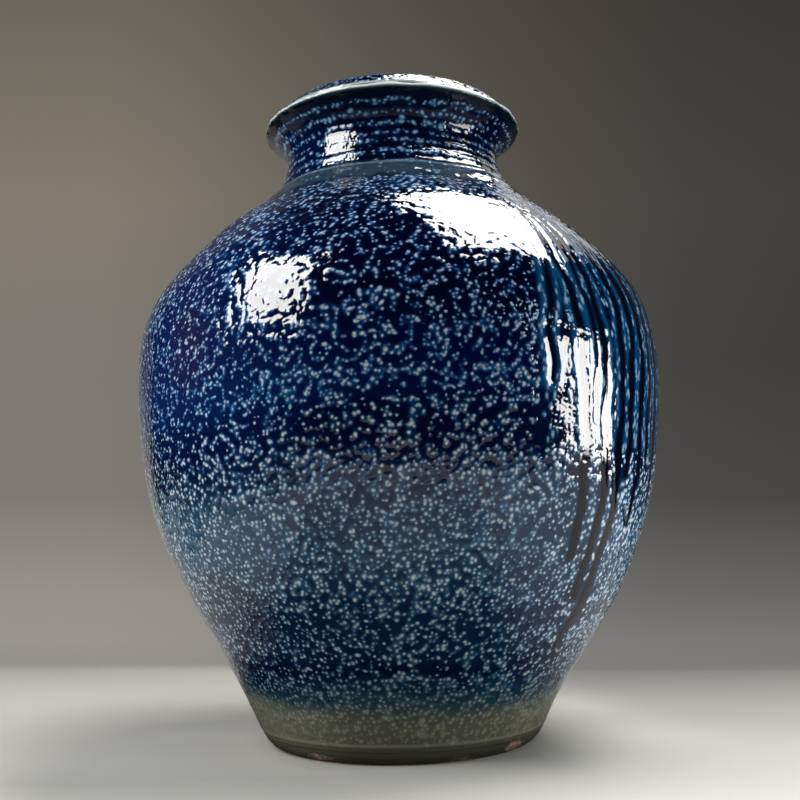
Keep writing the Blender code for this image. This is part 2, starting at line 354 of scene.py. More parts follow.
def lay_beads(rng, radius, cell, row_step, spacing, shape):
    """Beads in staggered, jittered rings: their column and row places."""
    rows, columns = shape
    bead_columns, bead_rows = [], []
    along = 0.0
    while along < (rows - 1) * row_step:
        row = along / row_step
        j = min(int(row), rows - 1)
        gap = float(spacing[j])
        count = max(8, int(round(TAU * radius[j] / gap)))
        even = (np.arange(count) + rng.uniform(0, 1)) * columns / count
        bead_columns.append(even + rng.uniform(-JITTER, JITTER, count) * gap / cell[j])
        shift = rng.uniform(-JITTER, JITTER, count) * gap / row_step
        bead_rows.append(np.full(count, row) + shift)
        along += gap * 0.87
    return np.concatenate(bead_columns) % columns, np.clip(np.concatenate(bead_rows), 1, rows - 2)


def slide_to_ridges(column, row, ridge, slope_i, slope_j, cell, row_step, gather):
    """Move the beads in two steps towards the zero lines of the ridge field."""
    rows, columns = ridge.shape
    for _ in range(2):
        i, j = nearest(column, row, ridge.shape)
        a, b = slope_i[j, i], slope_j[j, i]
        step = np.clip(ridge[j, i] / (a * a + b * b + 0.02), -3.0, 3.0)
        across, up = -a * step, -b * step
        length = np.hypot(across, up)
        limit = np.minimum(1.0, (0.18 + 0.50 * gather[j]) / np.maximum(length, 1e-6))
        column = (column + 0.7 * across * limit / cell[j]) % columns
        row = np.clip(row + 0.7 * up * limit / row_step, 1, rows - 2)
    return column, row


def stamp_beads(column, row, size, bright, angle, stretch, cell, row_step, shape):
    """Press every bead into the grid: its bright core, and its mass from the summed halos."""
    rows, columns = shape
    core = np.zeros(rows * columns, np.float32)
    halo = np.zeros(rows * columns, np.float32)
    reach_j = int(math.ceil(BEAD_REACH / row_step))
    reach_i = min(int(math.ceil(BEAD_REACH / cell.min())), BEAD_REACH_COLUMNS)
    for dj in range(-reach_j, reach_j + 1):
        target_j = np.rint(row).astype(int) + dj
        on_grid = (target_j >= 0) & (target_j < rows)
        target_j = np.clip(target_j, 0, rows - 1)
        y = (target_j - row) * row_step
        for di in range(-reach_i, reach_i + 1):
            target_i = np.rint(column).astype(int) + di
            x = (target_i - column) * cell[target_j]
            near = on_grid & (np.abs(x) < BEAD_REACH)
            if not near.any():
                continue
            x_near, y_near = x[near], y[near]
            cos, sin = np.cos(angle[near]), np.sin(angle[near])
            along = (x_near * cos + y_near * sin) / stretch[near]
            across = -x_near * sin + y_near * cos
            square = (along * along + across * across) / (size[near] ** 2)
            index = target_j[near] * columns + target_i[near] % columns
            peak = bright[near] * np.exp(-square / 0.95)
            np.maximum.at(core, index, peak.astype(np.float32))
            np.add.at(halo, index, np.exp(-square / 2.7).astype(np.float32))
    return core.reshape(shape), 1 - np.exp(-0.75 * halo.reshape(shape))


def bead_glaze(points, row_step, spacing, seed, ridge, keep, size, gather, streak):
    """Scatter glaze beads over a grid; gives their (core, mass) fields.

    spacing  mm between beads, for each row
    ridge    field whose zero lines the beads gather on
    keep     field 0..1, the chance that a bead stays
    size     field, bead size against 1.0
    gather   0..1 for each row, how strongly the beads string together along the ridge lines
    streak   field 0..1, where the beads are drawn out downwards along the runs
    """
    shape = points.shape[:2]
    rng = np.random.default_rng(seed)
    radius = axis_distance(points[:, 0])
    cell = TAU * radius / shape[1]                          # mm per column on each row
    column, row = lay_beads(rng, radius, cell, row_step, spacing, shape)
    slope_i = (np.roll(ridge, -1, 1) - np.roll(ridge, 1, 1)) / (2 * cell[:, None])
    slope_j = np.gradient(ridge, axis=0) / row_step
    column, row = slide_to_ridges(column, row, ridge, slope_i, slope_j, cell, row_step, gather)

    i, j = nearest(column, row, shape)
    off_ridge = 0.86 - 0.56 * gather[j]                     # chance to stay away from a ridge
    chance = keep[j, i] * (off_ridge + (1 - off_ridge) * bell(ridge[j, i], 0, 0.55))
    stay = rng.uniform(0, 1, len(column)) < chance
    column, row, i, j = column[stay], row[stay], i[stay], j[stay]

    # each bead's size, brightness, direction along the ridge line, and stretch
    count = len(column)
    drawn = streak[j, i]
    bead_size = size[j, i] * rng.normal(1.0, 0.22, count).clip(0.50, 1.60)
    bright = 1.0 - 0.45 * rng.uniform(0.0, 1.0, count) ** 1.6
    angle = np.arctan2(slope_j[j, i], slope_i[j, i]) + math.pi / 2
    angle = angle + rng.normal(0, 0.45, count) * (1 - drawn)
    angle = np.where(drawn > 0.5, math.pi / 2, angle)
    stretch = (
        1.03
        + rng.gamma(1.5, 0.14, count).clip(0, 0.9) * (0.7 + 0.5 * gather[j])
        + 0.17 * (gather[j] > 0.97)
    )
    stretch = stretch + drawn * rng.uniform(0.5, 1.3, count)
    bead_size = bead_size * (1 + 0.28 * drawn)
    return stamp_beads(column, row, bead_size, bright, angle, stretch, cell, row_step, shape)


# ------------------------------------------------------------------ jar
def jar_profile():
    """The jar's outline as one path, from under the foot to the middle of the floor inside.

    Gives the (r, z) rows and the slices of its stretches.
    """
    wall_z = np.linspace(WALL[0][0], WALL[-1][0], 2400)
    wall = resample(np.stack([outline(wall_z), wall_z], 1), JAR_ROW_STEP)
    lip = resample([(75.7, 357.5)] + arc(75.7, 360.2, 1.9, -50, 172, 15), 0.45)
    collar_top = arc(47.75, 361.25, 2.75, 8, 172, 13)
    seal = resample([*CHANNEL, *collar_top, *COLLAR_INSIDE], 1.1)
    inside_z = np.linspace(331.0, CORNER_TOP, 110)
    inside = np.stack([inside_radius(inside_z), inside_z], 1)
    quarter = np.linspace(0, 1, 9)[1:] * math.pi / 2
    corner = np.stack([
        FLOOR_RADIUS + (inside[-1, 0] - FLOOR_RADIUS) * np.cos(quarter),
        FLOOR_TOP + (CORNER_TOP - FLOOR_TOP) * (1 - np.sin(quarter)),
    ], 1)
    floor = resample([(FLOOR_RADIUS, FLOOR_TOP), (2.0, FLOOR_TOP)], 3.5)

    under, foot = resample(UNDERSIDE, 2.0), resample(FOOT, 0.6)
    parts = [under, foot[1:], wall[1:], lip[1:], seal[1:], inside, corner, floor[1:]]
    starts = np.cumsum([0] + [len(part) for part in parts])
    rows = SimpleNamespace(
        under=slice(0, starts[1]),
        outer=slice(starts[1], starts[3]),                  # foot and wall
        lip=slice(starts[3], starts[4]),
        seal=slice(starts[4], starts[5]),
        sides=slice(starts[5], starts[7]),                  # inside wall and corner
        liner=slice(starts[4], None),                       # all from the seal channel inwards
        inner=slice(starts[5], None),
    )
    return np.vstack(parts), rows


def outer_skin(points, angle):
    """Places and noises on the outer surface."""
    z = points[:, :, 2].copy()
    mid = noise(points, 13, 22.0, spread=0.4, count=50)
    return SimpleNamespace(
        z=z,
        radius=axis_distance(points[:, 0])[:, None],
        degrees=np.degrees(angle)[None, :],
        net=noise(points, 11, 9.0, spread=0.22),            # the network the beads sit on
        slow=noise(points, 12, 60.0, spread=0.5, count=40),
        mid=mid,
        fine=noise(points, 14, 2.2, spread=0.3, count=60),
        # throwing rings of the neck: a crest at every multiple of pi
        phase=np.interp(z + 0.35 * mid, RING_CRESTS, math.pi * np.arange(len(RING_CRESTS))),
        on_neck=smooth(300.0, 307.0, z),
    )


def add_runs(skin):
    """Set skin.edge, mm beyond the nearest run's edge; skin.flow, the runs; skin.sheet."""
    z, mid = skin.z, skin.mid
    edge = np.full(z.shape, 1e3)
    sheet = np.zeros(z.shape)
    for n, (top_angle, low_angle, top, low, top_half, low_half) in enumerate(RUNS):
        t = np.clip((top - z) / (top - low), -0.2, 1.3)
        wobble = 0.30 * np.sin(z / 9.0 + n * 1.7) + 0.22 * np.sin(z / 4.3 + n * 2.9)
        centre = top_angle + (low_angle - top_angle) * smooth(0.15, 0.85, t) + wobble
        half = top_half + (low_half - top_half) * np.clip(t, 0, 1)
        half = half + 0.35 * np.sin(z / 7.0 + n) * (1 - smooth(0.6, 0.9, t))
        upper_width = 0.74 if n < SLIM_RUNS else 1.22
        widen = upper_width * smooth(150.0, 170.0, z) + smooth(170.0, 150.0, z)
        half = half * smooth(-0.03, 0.10, t) * widen
        aside = np.abs(angle_from(skin.degrees, centre)) * math.pi / 180 * skin.radius
        past = np.clip(low + half - z, 0, None)             # rounds the drop's end
        beyond = np.where(t < -0.03, 50.0, np.hypot(aside, past) - half)
        edge = np.minimum(edge, beyond)
        sheet = np.maximum(sheet, bell(aside, 0, 9.5) * smooth(top + 6, top - 14, z))
    for start, start_full, end, end_full, top in SHEETS:
        across = smooth(start, start_full, skin.degrees + 2.0 * mid)
        across = across * smooth(end, end_full, skin.degrees + 5.0 * mid)
        sheet = np.maximum(sheet, 0.62 * across * smooth(top + 14, top, z))
    sheet = sheet * smooth(146.0, 160.0, z + 3.0 * mid)

    # below the longest runs one narrow tail leans towards the front
    tail_centre = 48.0 - 3.0 * smooth(80.0, 56.0, z)
    aside = np.abs(skin.degrees - tail_centre) * math.pi / 180 * skin.radius
    half = np.interp(z, (50.0, 54.0, 60.0, 72.0, 86.0), (0.0, 1.3, 2.3, 3.2, 3.2))
    skin.edge = np.minimum(edge, np.where((z > 52.0) & (z < 86.0), aside - half, 50.0))
    skin.flow = 1 - smooth(-0.45, 0.45, skin.edge)
    skin.sheet = smooth(0.25, 0.75, sheet) * (1 - skin.on_neck)


def jar_ridges(skin):
    """Field whose zero lines gather the beads: network, level lines, neck rings and runs."""
    z, mid, on_neck, sheet = skin.z, skin.mid, skin.on_neck, skin.sheet
    ridge = skin.net
    for line_z, strength in BEAD_LINES:
        weight = strength * bell(z + 1.2 * mid, line_z, 2.6) * (0.55 + 0.45 * np.tanh(2 * skin.slow))
        ridge = ridge * (1 - weight) + weight * (z - line_z + 0.5 * mid) / 1.4
    ridge = ridge * (1 - on_neck) + on_neck * 1.25 * np.sin(skin.phase)
    beside_runs = np.clip((skin.edge - 2.6) / 1.2, -2.5, 2.0) * 0.9 + 0.25 * skin.net
    return ridge * (1 - sheet) + sheet * beside_runs


def jar_bead_keep(skin):
    """Chance 0..1 that a bead stays."""
    z = skin.z
    keep = 0.96 - 0.16 * smooth(0.4, 1.4, skin.slow)
    for lost, waviness, band_z, width in SPARSE_BANDS:
        keep = keep * (1 - lost * bell(z + waviness * skin.mid, band_z, width))
    keep = keep * (1 - 0.9 * smooth(355.2, 356.6, z))
    # none on the runs, few on the sheet, none on the bare foot
    keep = keep * (1 - skin.flow) * smooth(0.2, 0.9, skin.edge) * (1 - 0.45 * skin.sheet)
    keep = keep * smooth(9.5, 12.0, z)
    # right of the left flank the upper body keeps fewer
    upper = np.interp(z, (150, 185, 240, 280, 300), (1.0, 0.91, 0.72, 0.80, 1.0))
    return keep * (1 - (1 - upper) * smooth(-48.0, -22.0, skin.degrees))


def jar_bead_size(skin):
    """Bead size against 1.0: by height, larger low on the right, smaller high on the left."""
    z, degrees = skin.z, skin.degrees
    size = np.interp(
        z,
        (10, 60, 110, 150, 190, 225, 245, 275, 298, 306, 320, 358),
        (0.84, 0.88, 0.95, 0.91, 0.79, 0.86, 0.92, 1.08, 1.10, 1.00, 1.02, 0.95),
    )
    right = smooth(32.0, 50.0, degrees) * smooth(100.0, 80.0, degrees) * smooth(180.0, 150.0, z)
    left = smooth(-25.0, -45.0, degrees) * smooth(150.0, 175.0, z) * smooth(270.0, 250.0, z)
    return size * (1 + 0.06 * skin.slow) * (1 + 0.26 * right) * (1 - 0.13 * left)


def jar_beads(skin, points):
    row_z = skin.z[:, 0]
    spacing = np.interp(
        row_z,
        (10, 60, 110, 150, 185, 240, 285, 303, 320, 358),
        (2.85, 2.80, 2.86, 2.66, 2.43, 2.62, 3.25, 3.15, 3.20, 3.10),
    )
    gather = np.interp(
        row_z,
        (10, 90, 130, 160, 200, 290, 303, 358),
        (0.0, 0.10, 0.30, 0.50, 0.68, 0.66, 0.98, 0.98),
    )
    return bead_glaze(
        points, JAR_ROW_STEP, spacing, seed=21, ridge=skin.ridge, keep=jar_bead_keep(skin),
        size=jar_bead_size(skin), gather=gather, streak=skin.sheet,
    )


def kiln_scars(skin):
    scar = np.zeros(skin.z.shape)
    for centre, half_length, scar_z in SCARS:
        x = angle_from(skin.degrees, centre) / half_length
        z = (skin.z - scar_z) / 2.0
        ragged = np.hypot(x, z) + 0.22 * skin.mid + 0.14 * skin.fine
        scar = np.maximum(scar, 1 - smooth(0.55, 1.15, ragged))
    return scar


def jar_relief(skin):
    """Height of the glaze over the smooth wall, mm."""
    z, mid, flow, sheet, on_neck = skin.z, skin.mid, skin.flow, skin.sheet, skin.on_neck
    # beads, flatter on the sheet and at the shoulder
    bead_part = (1 - 0.78 * sheet) * (1 - 0.30 * bell(z, 278.0, 16.0))
    height = 0.20 * skin.mass * bead_part + 0.14 * skin.core * bead_part
    height = height + 0.05 * bell(skin.ridge, 0, 0.6) + 0.018 * skin.fine
    height += 0.035 * mid
    height *= (1 - flow) * (0.35 + 0.65 * smooth(8.5, 14.0, z))

    # raised ribs beside the runs above, raised drops below
    turn = np.abs(skin.degrees)
    calm_side = 1 - 0.80 * smooth(44.5, 48.0, turn) * (turn < 100)
    rib = sheet * calm_side * (0.26 - 0.14 * smooth(244.0, 262.0, z))
    rib = rib * bell(np.clip(skin.edge, 0, 9), 3.0, 2.6)
    drop = (1 - smooth(0.02, 0.85, sheet)) * 0.13 * np.sqrt(np.clip(-skin.edge / 2.2, 0, 1))
    height += rib * (1 - flow) + drop + 0.05 * flow * sheet

    # throwing rings of the neck and of the body, calmer at z = 150
    neck = on_neck * smooth(357.5, 352.0, z) * 0.055 * np.cos(2 * skin.phase)
    height += neck * (1 - 0.6 * bell(z, 311.0, 5.0))
    wavy_z = z + 0.8 * mid
    calm = 1 - 0.75 * bell(z, 150.0, 22.0)
    height += calm * (1 - on_neck) * smooth(12.0, 30.0, z) * (
        0.030 * np.sin(TAU * wavy_z / 11.3 + 0.7) + 0.020 * np.sin(TAU * wavy_z / 7.1)
        + 0.030 * bell(z, 174.6, 2.6) - 0.02 * bell(z, 170.6, 2.2)
    )
    for rise, ledge_z, width in LEDGES:
        height += rise * bell(z, ledge_z, width)
    # slow unevenness of hand work
    height += 0.35 * skin.slow * calm * smooth(10.0, 40.0, z) * smooth(358.0, 330.0, z)
    height -= skin.scar * (0.22 + 0.10 * skin.fine)
    return height


def roughen_stretch(grid, rows, normals, relief):
    """Push a stretch of rows out along the profile's normals by the relief, mm."""
    part = grid[rows]
    radius = axis_distance(part)
    scale = (radius + relief * normals[rows, 0][:, None]) / radius
    part[:, :, 0] *= scale
    part[:, :, 1] *= scale
    part[:, :, 2] += relief * normals[rows, 1][:, None]


def build_jar():
    profile, rows = jar_profile()
    grid, angle = turn_profile(profile, JAR_COLUMNS)
    normals = profile_normals(profile)

    skin = outer_skin(grid[rows.outer], angle)
    add_runs(skin)
    skin.ridge = jar_ridges(skin)
    skin.core, skin.mass = jar_beads(skin, grid[rows.outer])
    skin.scar = kiln_scars(skin)
    height = jar_relief(skin)

    # the right side swells above the foot and is cut in at it
    lean = bell(skin.degrees, 82.0, 50.0)
    swell = 2.0 * bell(skin.z, 80.0, 30.0)
    cut = 3.7 * smooth(50.0, 20.0, skin.z) * smooth(64.0, 75.0, skin.radius)
    radius = skin.radius + height * normals[rows.outer, 0][:, None] + lean * (swell - cut)
    outer_z = np.maximum(skin.z + height * normals[rows.outer, 1][:, None], 0.0)
    set_rows(grid, rows.outer, angle, radius, outer_z)

    # the lip is slowly uneven; the inside has soft throwing rings
    lip = grid[rows.lip]
    lip_relief = 0.16 * noise(lip, 31, 14.0, spread=0.4, count=40)
    lip_relief = lip_relief + 0.05 * noise(lip, 32, 4.0, spread=0.4, count=40)
    roughen_stretch(grid, rows.lip, normals, lip_relief)
    sides = grid[rows.sides]
    swayed_z = sides[:, :, 2] + 2.0 * np.sin(np.arctan2(sides[:, :, 0], -sides[:, :, 1]))
    rings = 0.35 * np.sin(TAU * swayed_z / 9.5)
    rings = rings + 0.10 * noise(sides, 33, 18.0, spread=0.4, count=30)
    roughen_stretch(grid, rows.sides, normals, rings)

    jar = closed_lathe("jar_body_glazed", grid)
    crest = skin.sheet * bell(np.clip(skin.edge, 0, 9), 3.2, 1.9)
    seal = grid[rows.seal]
    pale_seal = smooth(357.5, 360.0, seal[:, :, 2]) * (axis_distance(seal) > 65)
    pale_lip = smooth(359.7, 360.5, grid[rows.lip, :, 2])
    add_attributes(jar, {
        "core": row_field(grid, (rows.outer, skin.core)),
        "mass": row_field(grid, (rows.outer, skin.mass)),
        "flow": row_field(grid, (rows.outer, skin.flow)),
        "sheet": row_field(grid, (rows.outer, skin.sheet)),
        "crest": row_field(grid, (rows.outer, crest)),
        "scar": row_field(grid, (rows.outer, skin.scar)),
        "bare": row_field(grid, (rows.under, 1.0), (rows.outer, smooth(1.3, 0.2, outer_z))),
        "liner": row_field(grid, (rows.liner, 1.0)),
        "inner": row_field(grid, (rows.inner, 1.0)),
        "lip": row_field(grid, (rows.lip, pale_lip), (rows.seal, pale_seal)),
    }, centre_ones=("bare", "liner"))
    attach(jar, "crock")
    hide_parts("jar_body")
    return jar


# ------------------------------------------------------------------ lid
def cut_notches(grid, below, angle):
    """Raise the skirt's lower edge into four vent notches."""
    skirt = grid[below]
    radius, z = axis_distance(skirt), skirt[:, :, 2]
    bottom = np.full((1, LID_COLUMNS), SKIRT_LOW)
    for centre in NOTCH_ANGLES:
        x = angle_from(np.degrees(angle)[None, :], centre) * math.pi / 180 * NOTCH_AT_RADIUS
        round_top = np.sqrt(np.clip(NOTCH_RADIUS**2 - x**2, 0, None))
        bottom = np.maximum(bottom, NOTCH_CENTRE_Z + round_top)
    on_skirt = (radius > 53.2) & (radius < 58.2) & (z < NOTCH_FADE_TOP)
    shrink = (NOTCH_FADE_TOP - bottom) / (NOTCH_FADE_TOP - SKIRT_LOW)
    lifted = bottom + (z - SKIRT_LOW) * shrink
    skirt[:, :, 2] = np.where(on_skirt, np.maximum(lifted, z), z)


def build_lid():
    rim = arc(71.9, 362.8, 1.2, -90, 0, 6)
    under, skirt = resample(LID_UNDERSIDE, 1.1), resample(LID_SKIRT, 0.9)
    top = resample([*rim, *LID_DOME, *LID_KNOB], LID_ROW_STEP)
    profile = np.vstack([under, skirt[1:], top[1:]])
    first_outer = len(under) + len(skirt) - 1
    below, outer = slice(0, first_outer), slice(first_outer, None)
    grid, angle = turn_profile(profile, LID_COLUMNS)
    normals = profile_normals(profile)[outer]

    points = grid[outer]
    shape = points.shape[:2]
    z = points[:, :, 2].copy()
    radius = axis_distance(points[:, 0])[:, None]
    net = noise(points, 41, 8.0, spread=0.22)
    mid = noise(points, 42, 20.0, spread=0.4, count=50)
    fine = noise(points, 43, 2.2, spread=0.3, count=60)

    # beads gather on the network and on rings of the dome; few on the knob's waist
    on_dome = smooth(66.0, 62.0, radius) * smooth(17.5, 20.5, radius)
    dome_rings = np.sin(math.pi * (radius + 0.7 * mid) / 5.2)
    ridge = net * (1 - 0.55 * on_dome) + 0.55 * on_dome * 1.2 * dome_rings
    keep = 0.95 * np.ones(shape) * (1 - 0.75 * bell(radius, 13.0, 4.0) * (z < 386))
    keep = np.clip(keep * (smooth(363.2, 364.4, z) + (radius < 60)), 0, 1)
    core, mass = bead_glaze(
        points, LID_ROW_STEP, np.full(shape[0], 2.7), seed=51, ridge=ridge, keep=keep,
        size=np.full(shape, 0.92), gather=np.full(shape[0], 0.7), streak=np.zeros(shape),
    )

    height = 0.18 * mass + 0.13 * core + 0.04 * bell(ridge, 0, 0.6) + 0.012 * fine + 0.04 * mid
    height = height * (smooth(362.9, 364.6, z) * (radius > 60) + (radius <= 60))
    height += on_dome * 0.18 * np.cos(TAU * (radius + 0.7 * mid) / 5.2)
    height = height * smooth(2.0, 9.0, radius)
    outer_z = z + height * normals[:, 1][:, None]
    set_rows(grid, outer, angle, radius + height * normals[:, 0][:, None], outer_z)
    cut_notches(grid, below, angle)

    lid = closed_lathe("lid_glazed", grid)
    nothing = row_field(grid)
    rim_pale = 0.75 * bell(outer_z, 364.4, 0.9) * (radius > 60)
    knob_pale = 0.55 * bell(outer_z, 389.6, 1.3) * (radius < 20) * (radius > 14)
    add_attributes(lid, {
        "core": row_field(grid, (outer, core)),
        "mass": row_field(grid, (outer, mass)),
        "flow": nothing,
        "sheet": nothing,
        "crest": nothing,
        "bare": row_field(grid, (below, smooth(346.2, 344.6, grid[below, :, 2]))),
        "liner": row_field(grid, (below, 1.0)),
        "inner": nothing,
        "lip": row_field(grid, (outer, rim_pale + knob_pale)),
        "scar": nothing,
    })
    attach(lid, "lid")
    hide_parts("lid")
    return lid


# ------------------------------------------------------------------ half-moon weights
def half_moon_block(name, radius, straight, low, high, side):
    """Sharp half disc with a half hole; side is +1 for the back (+Y) half, -1 for the front."""
    outer_end = math.asin(straight / radius)
    hole_end = math.asin(straight / WEIGHT_HOLE_RADIUS)
    outline_points = [
        (r * math.cos(a), r * math.sin(a))
        for r, angles in (
            (radius, np.linspace(outer_end, math.pi - outer_end, 90)),
            (WEIGHT_HOLE_RADIUS, np.linspace(math.pi - hole_end, hole_end, 26)),
        )
        for a in angles
    ]
    bm = bmesh.new()
    verts = [bm.verts.new((x * MM, side * y * MM, low * MM)) for x, y in outline_points]
    face = bm.faces.new(verts if side > 0 else verts[::-1])
    face.normal_flip()
    made = bmesh.ops.extrude_face_region(bm, geom=[face])
    top = [item for item in made["geom"] if isinstance(item, bmesh.types.BMVert)]
    bmesh.ops.translate(bm, verts=top, vec=(0, 0, (high - low) * MM))
    bmesh.ops.recalc_face_normals(bm, faces=bm.faces)
    bmesh.ops.triangulate(bm, faces=[f for f in bm.faces if len(f.verts) > 4])
    mesh = bpy.data.meshes.new(name)
    bm.to_mesh(mesh)
    bm.free()
    obj = bpy.data.objects.new(name, mesh)
    bpy.context.scene.collection.objects.link(obj)
    return obj


def soften(obj):
    """Remesh and smooth the block, and keep the result as its mesh."""
    remesh = obj.modifiers.new("remesh", "REMESH")
    remesh.mode = "VOXEL"
    remesh.voxel_size = WEIGHT_VOXEL * MM
    smoothing = obj.modifiers.new("soften", "SMOOTH")
    smoothing.factor = 0.5
    smoothing.iterations = 7
    depsgraph = bpy.context.evaluated_depsgraph_get()
    mesh = bpy.data.meshes.new_from_object(obj.evaluated_get(depsgraph))
    obj.modifiers.clear()
    obj.data = mesh
    mesh.name = obj.name
    return mesh


def vertex_vectors(mesh, key):
    flat = np.zeros(len(mesh.vertices) * 3, np.float32)
    mesh.vertices.foreach_get(key, flat)
    return flat.reshape(-1, 3)


def build_weight(name, cad, side, seed):
    low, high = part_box(cad)
    bottom = low.z / MM
    radius = max(abs(low.x), abs(high.x)) / MM - WEIGHT_TRIM
    straight = min(abs(low.y), abs(high.y)) / MM            # y of the straight edge
    obj = half_moon_block(name, radius, straight, bottom, high.z / MM, side)
    mesh = soften(obj)

    points = vertex_vectors(mesh, "co") / MM
    normals = vertex_vectors(mesh, "normal")
    relief = (
        0.10 * noise(points, seed, 11.0, spread=0.5, count=40)
        + 0.05 * noise(points, seed + 1, 3.6, spread=0.4, count=60)
        + 0.16 * noise(points, seed + 2, 34.0, spread=0.4, count=30)
    )
    relief -= 0.28 * smooth(1.7, 2.6, noise(points, seed + 3, 4.4, spread=0.3, count=60))
    # faint rings from the wheel on the top face
    wavy = axis_distance(points) + 0.5 * noise(points, seed + 4, 30.0, spread=0.4, count=20)
    relief += smooth(0.6, 0.95, normals[:, 2]) * 0.16 * np.sin(TAU * wavy / 6.4)
    points = points + normals * relief[:, None]
    points[:, 2] = np.clip(points[:, 2], bottom, None)
    mesh.vertices.foreach_set("co", (points * MM).astype(np.float32).ravel())
    mesh.update()
    mesh.shade_smooth()
    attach(obj, cad)
    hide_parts(cad)
    return obj


# ------------------------------------------------------------------ node trees
class Wire:
    """A node output; each arithmetic sign on it adds one Math node."""

    def __init__(self, tree, socket):
        self.tree = tree
        self.socket = socket

    def __add__(self, other):
        return self.tree.math("ADD", self, other)

    def __radd__(self, other):
        return self.tree.math("ADD", other, self)

    def __sub__(self, other):
        return self.tree.math("SUBTRACT", self, other)

    def __rsub__(self, other):
        return self.tree.math("SUBTRACT", other, self)

    def __mul__(self, other):
        return self.tree.math("MULTIPLY", self, other)

    def __truediv__(self, other):
        return self.tree.math("DIVIDE", self, other)

    def __pow__(self, other):
        return self.tree.math("POWER", self, other)

    def __abs__(self):
        return self.tree.math("ABSOLUTE", self)


class Tree:
    """A short way to write the node tree of a material or world."""

    def __init__(self, owner):
        owner.use_nodes = True
        self.tree = owner.node_tree
        self.tree.nodes.clear()

    def add(self, kind, inputs=None, **settings):
        """Add a node: inputs by name or number, settings are its properties."""
        node = self.tree.nodes.new("ShaderNode" + kind)
        for key, value in settings.items():
            setattr(node, key, value)
        for key, value in (inputs or {}).items():
            socket = node.inputs[key]
            if isinstance(value, Wire):
                self.tree.links.new(value.socket, socket)
            elif isinstance(value, tuple) and socket.type == "RGBA":
                socket.default_value = (*value, 1.0)
            else:
                socket.default_value = value
        return node

    def node(self, kind, inputs=None, output=0, **settings):
        """Add a node and give one of its outputs."""
        return Wire(self, self.add(kind, inputs, **settings).outputs[output])

    def math(self, operation, a, b=0.0, clamp=False):
        inputs = {0: a, 1: b, 2: 0.0}
        return self.node("Math", inputs, operation=operation, use_clamp=clamp)

    def step(self, value, start, end, to=(0.0, 1.0), kind="SMOOTHSTEP"):
        """Step from to[0] at start to to[1] at end."""
        inputs = dict(enumerate((value, start, end, *to)))
        return self.node("MapRange", inputs, interpolation_type=kind, clamp=True)

    def band(self, value, centre, outer, inner):
        """1 within `inner` of the centre, fading to 0 at `outer`."""
        return self.step(abs(value - centre), outer, inner)

    def mix(self, amount, a, b):
        return self.node("Mix", {"Factor": amount, 6: a, 7: b}, output=2, data_type="RGBA")

    def ramp(self, value, stops, span):
        """Colours along 0..span: stops are (place, (r, g, b))."""
        node = self.add("ValToRGB", {0: self.math("DIVIDE", value, span)})
        elements = node.color_ramp.elements
        while len(elements) < len(stops):
            elements.new(0.5)
        for k, (place, colour) in enumerate(stops):
            elements[k].position = place / span
            elements[k].color = (*colour, 1.0)
        return Wire(self, node.outputs[0])

    def grey_ramp(self, value, stops, span):
        return self.ramp(value, [(place, (grey,) * 3) for place, grey in stops], span)

    def red(self, colour):
        return self.node("SeparateColor", {"Color": colour})

    def split(self, vector):
        return [Wire(self, out) for out in self.add("SeparateXYZ", {"Vector": vector}).outputs]

    def coordinates(self, kind):
        return self.node("TexCoord", output=kind)

    def attribute(self, name):
        settings = {"attribute_type": "GEOMETRY", "attribute_name": name}
        return self.node("Attribute", output="Fac", **settings)

    def noise(self, coord, scale, detail=2.0, rough=0.5):
        inputs = {"Vector": coord, "Scale": scale, "Detail": detail, "Roughness": rough}
        return self.node("TexNoise", inputs, output="Fac")

    def bump(self, height, strength, distance):
        return self.node("Bump", {"Strength": strength, "Distance": distance, "Height": height})


# ------------------------------------------------------------------ salt glaze
# colours up the jar: (z in mm, linear rgb), for the hollows, the glaze about the beads and
# the beads' crowns
HOLLOWS = (
    (0, (0.050, 0.050, 0.032)), (10, (0.072, 0.074, 0.050)), (20, (0.080, 0.083, 0.058)),
    (26, (0.052, 0.062, 0.052)), (32, (0.011, 0.036, 0.054)), (40, (0.003, 0.018, 0.042)),
    (49, (0.0008, 0.003, 0.018)), (56, (0.0015, 0.008, 0.030)), (66, (0.0018, 0.010, 0.034)),
    (84, (0.0024, 0.011, 0.036)), (105, (0.006, 0.023, 0.052)), (125, (0.0045, 0.017, 0.044)),
    (142, (0.002, 0.008, 0.028)), (156, (0.0006, 0.0020, 0.018)),
    (168, (0.0005, 0.0016, 0.016)), (184, (0.0005, 0.0024, 0.026)),
    (200, (0.0004, 0.0018, 0.022)), (228, (0.0003, 0.0009, 0.010)),
    (300, (0.0004, 0.0012, 0.011)), (357, (0.0005, 0.002, 0.013)),
)
AROUND = (
    (0, (0.085, 0.085, 0.055)), (12, (0.130, 0.132, 0.092)), (24, (0.140, 0.147, 0.112)),
    (31, (0.048, 0.086, 0.098)), (44, (0.012, 0.052, 0.100)), (60, (0.014, 0.058, 0.118)),
    (84, (0.018, 0.068, 0.134)), (110, (0.024, 0.088, 0.158)), (140, (0.012, 0.060, 0.132)),
    (158, (0.003, 0.028, 0.088)), (182, (0.002, 0.044, 0.128)), (205, (0.002, 0.038, 0.122)),
    (235, (0.001, 0.030, 0.118)), (300, (0.001, 0.036, 0.130)), (325, (0.001, 0.036, 0.125)),
    (357, (0.001, 0.022, 0.080)),
)
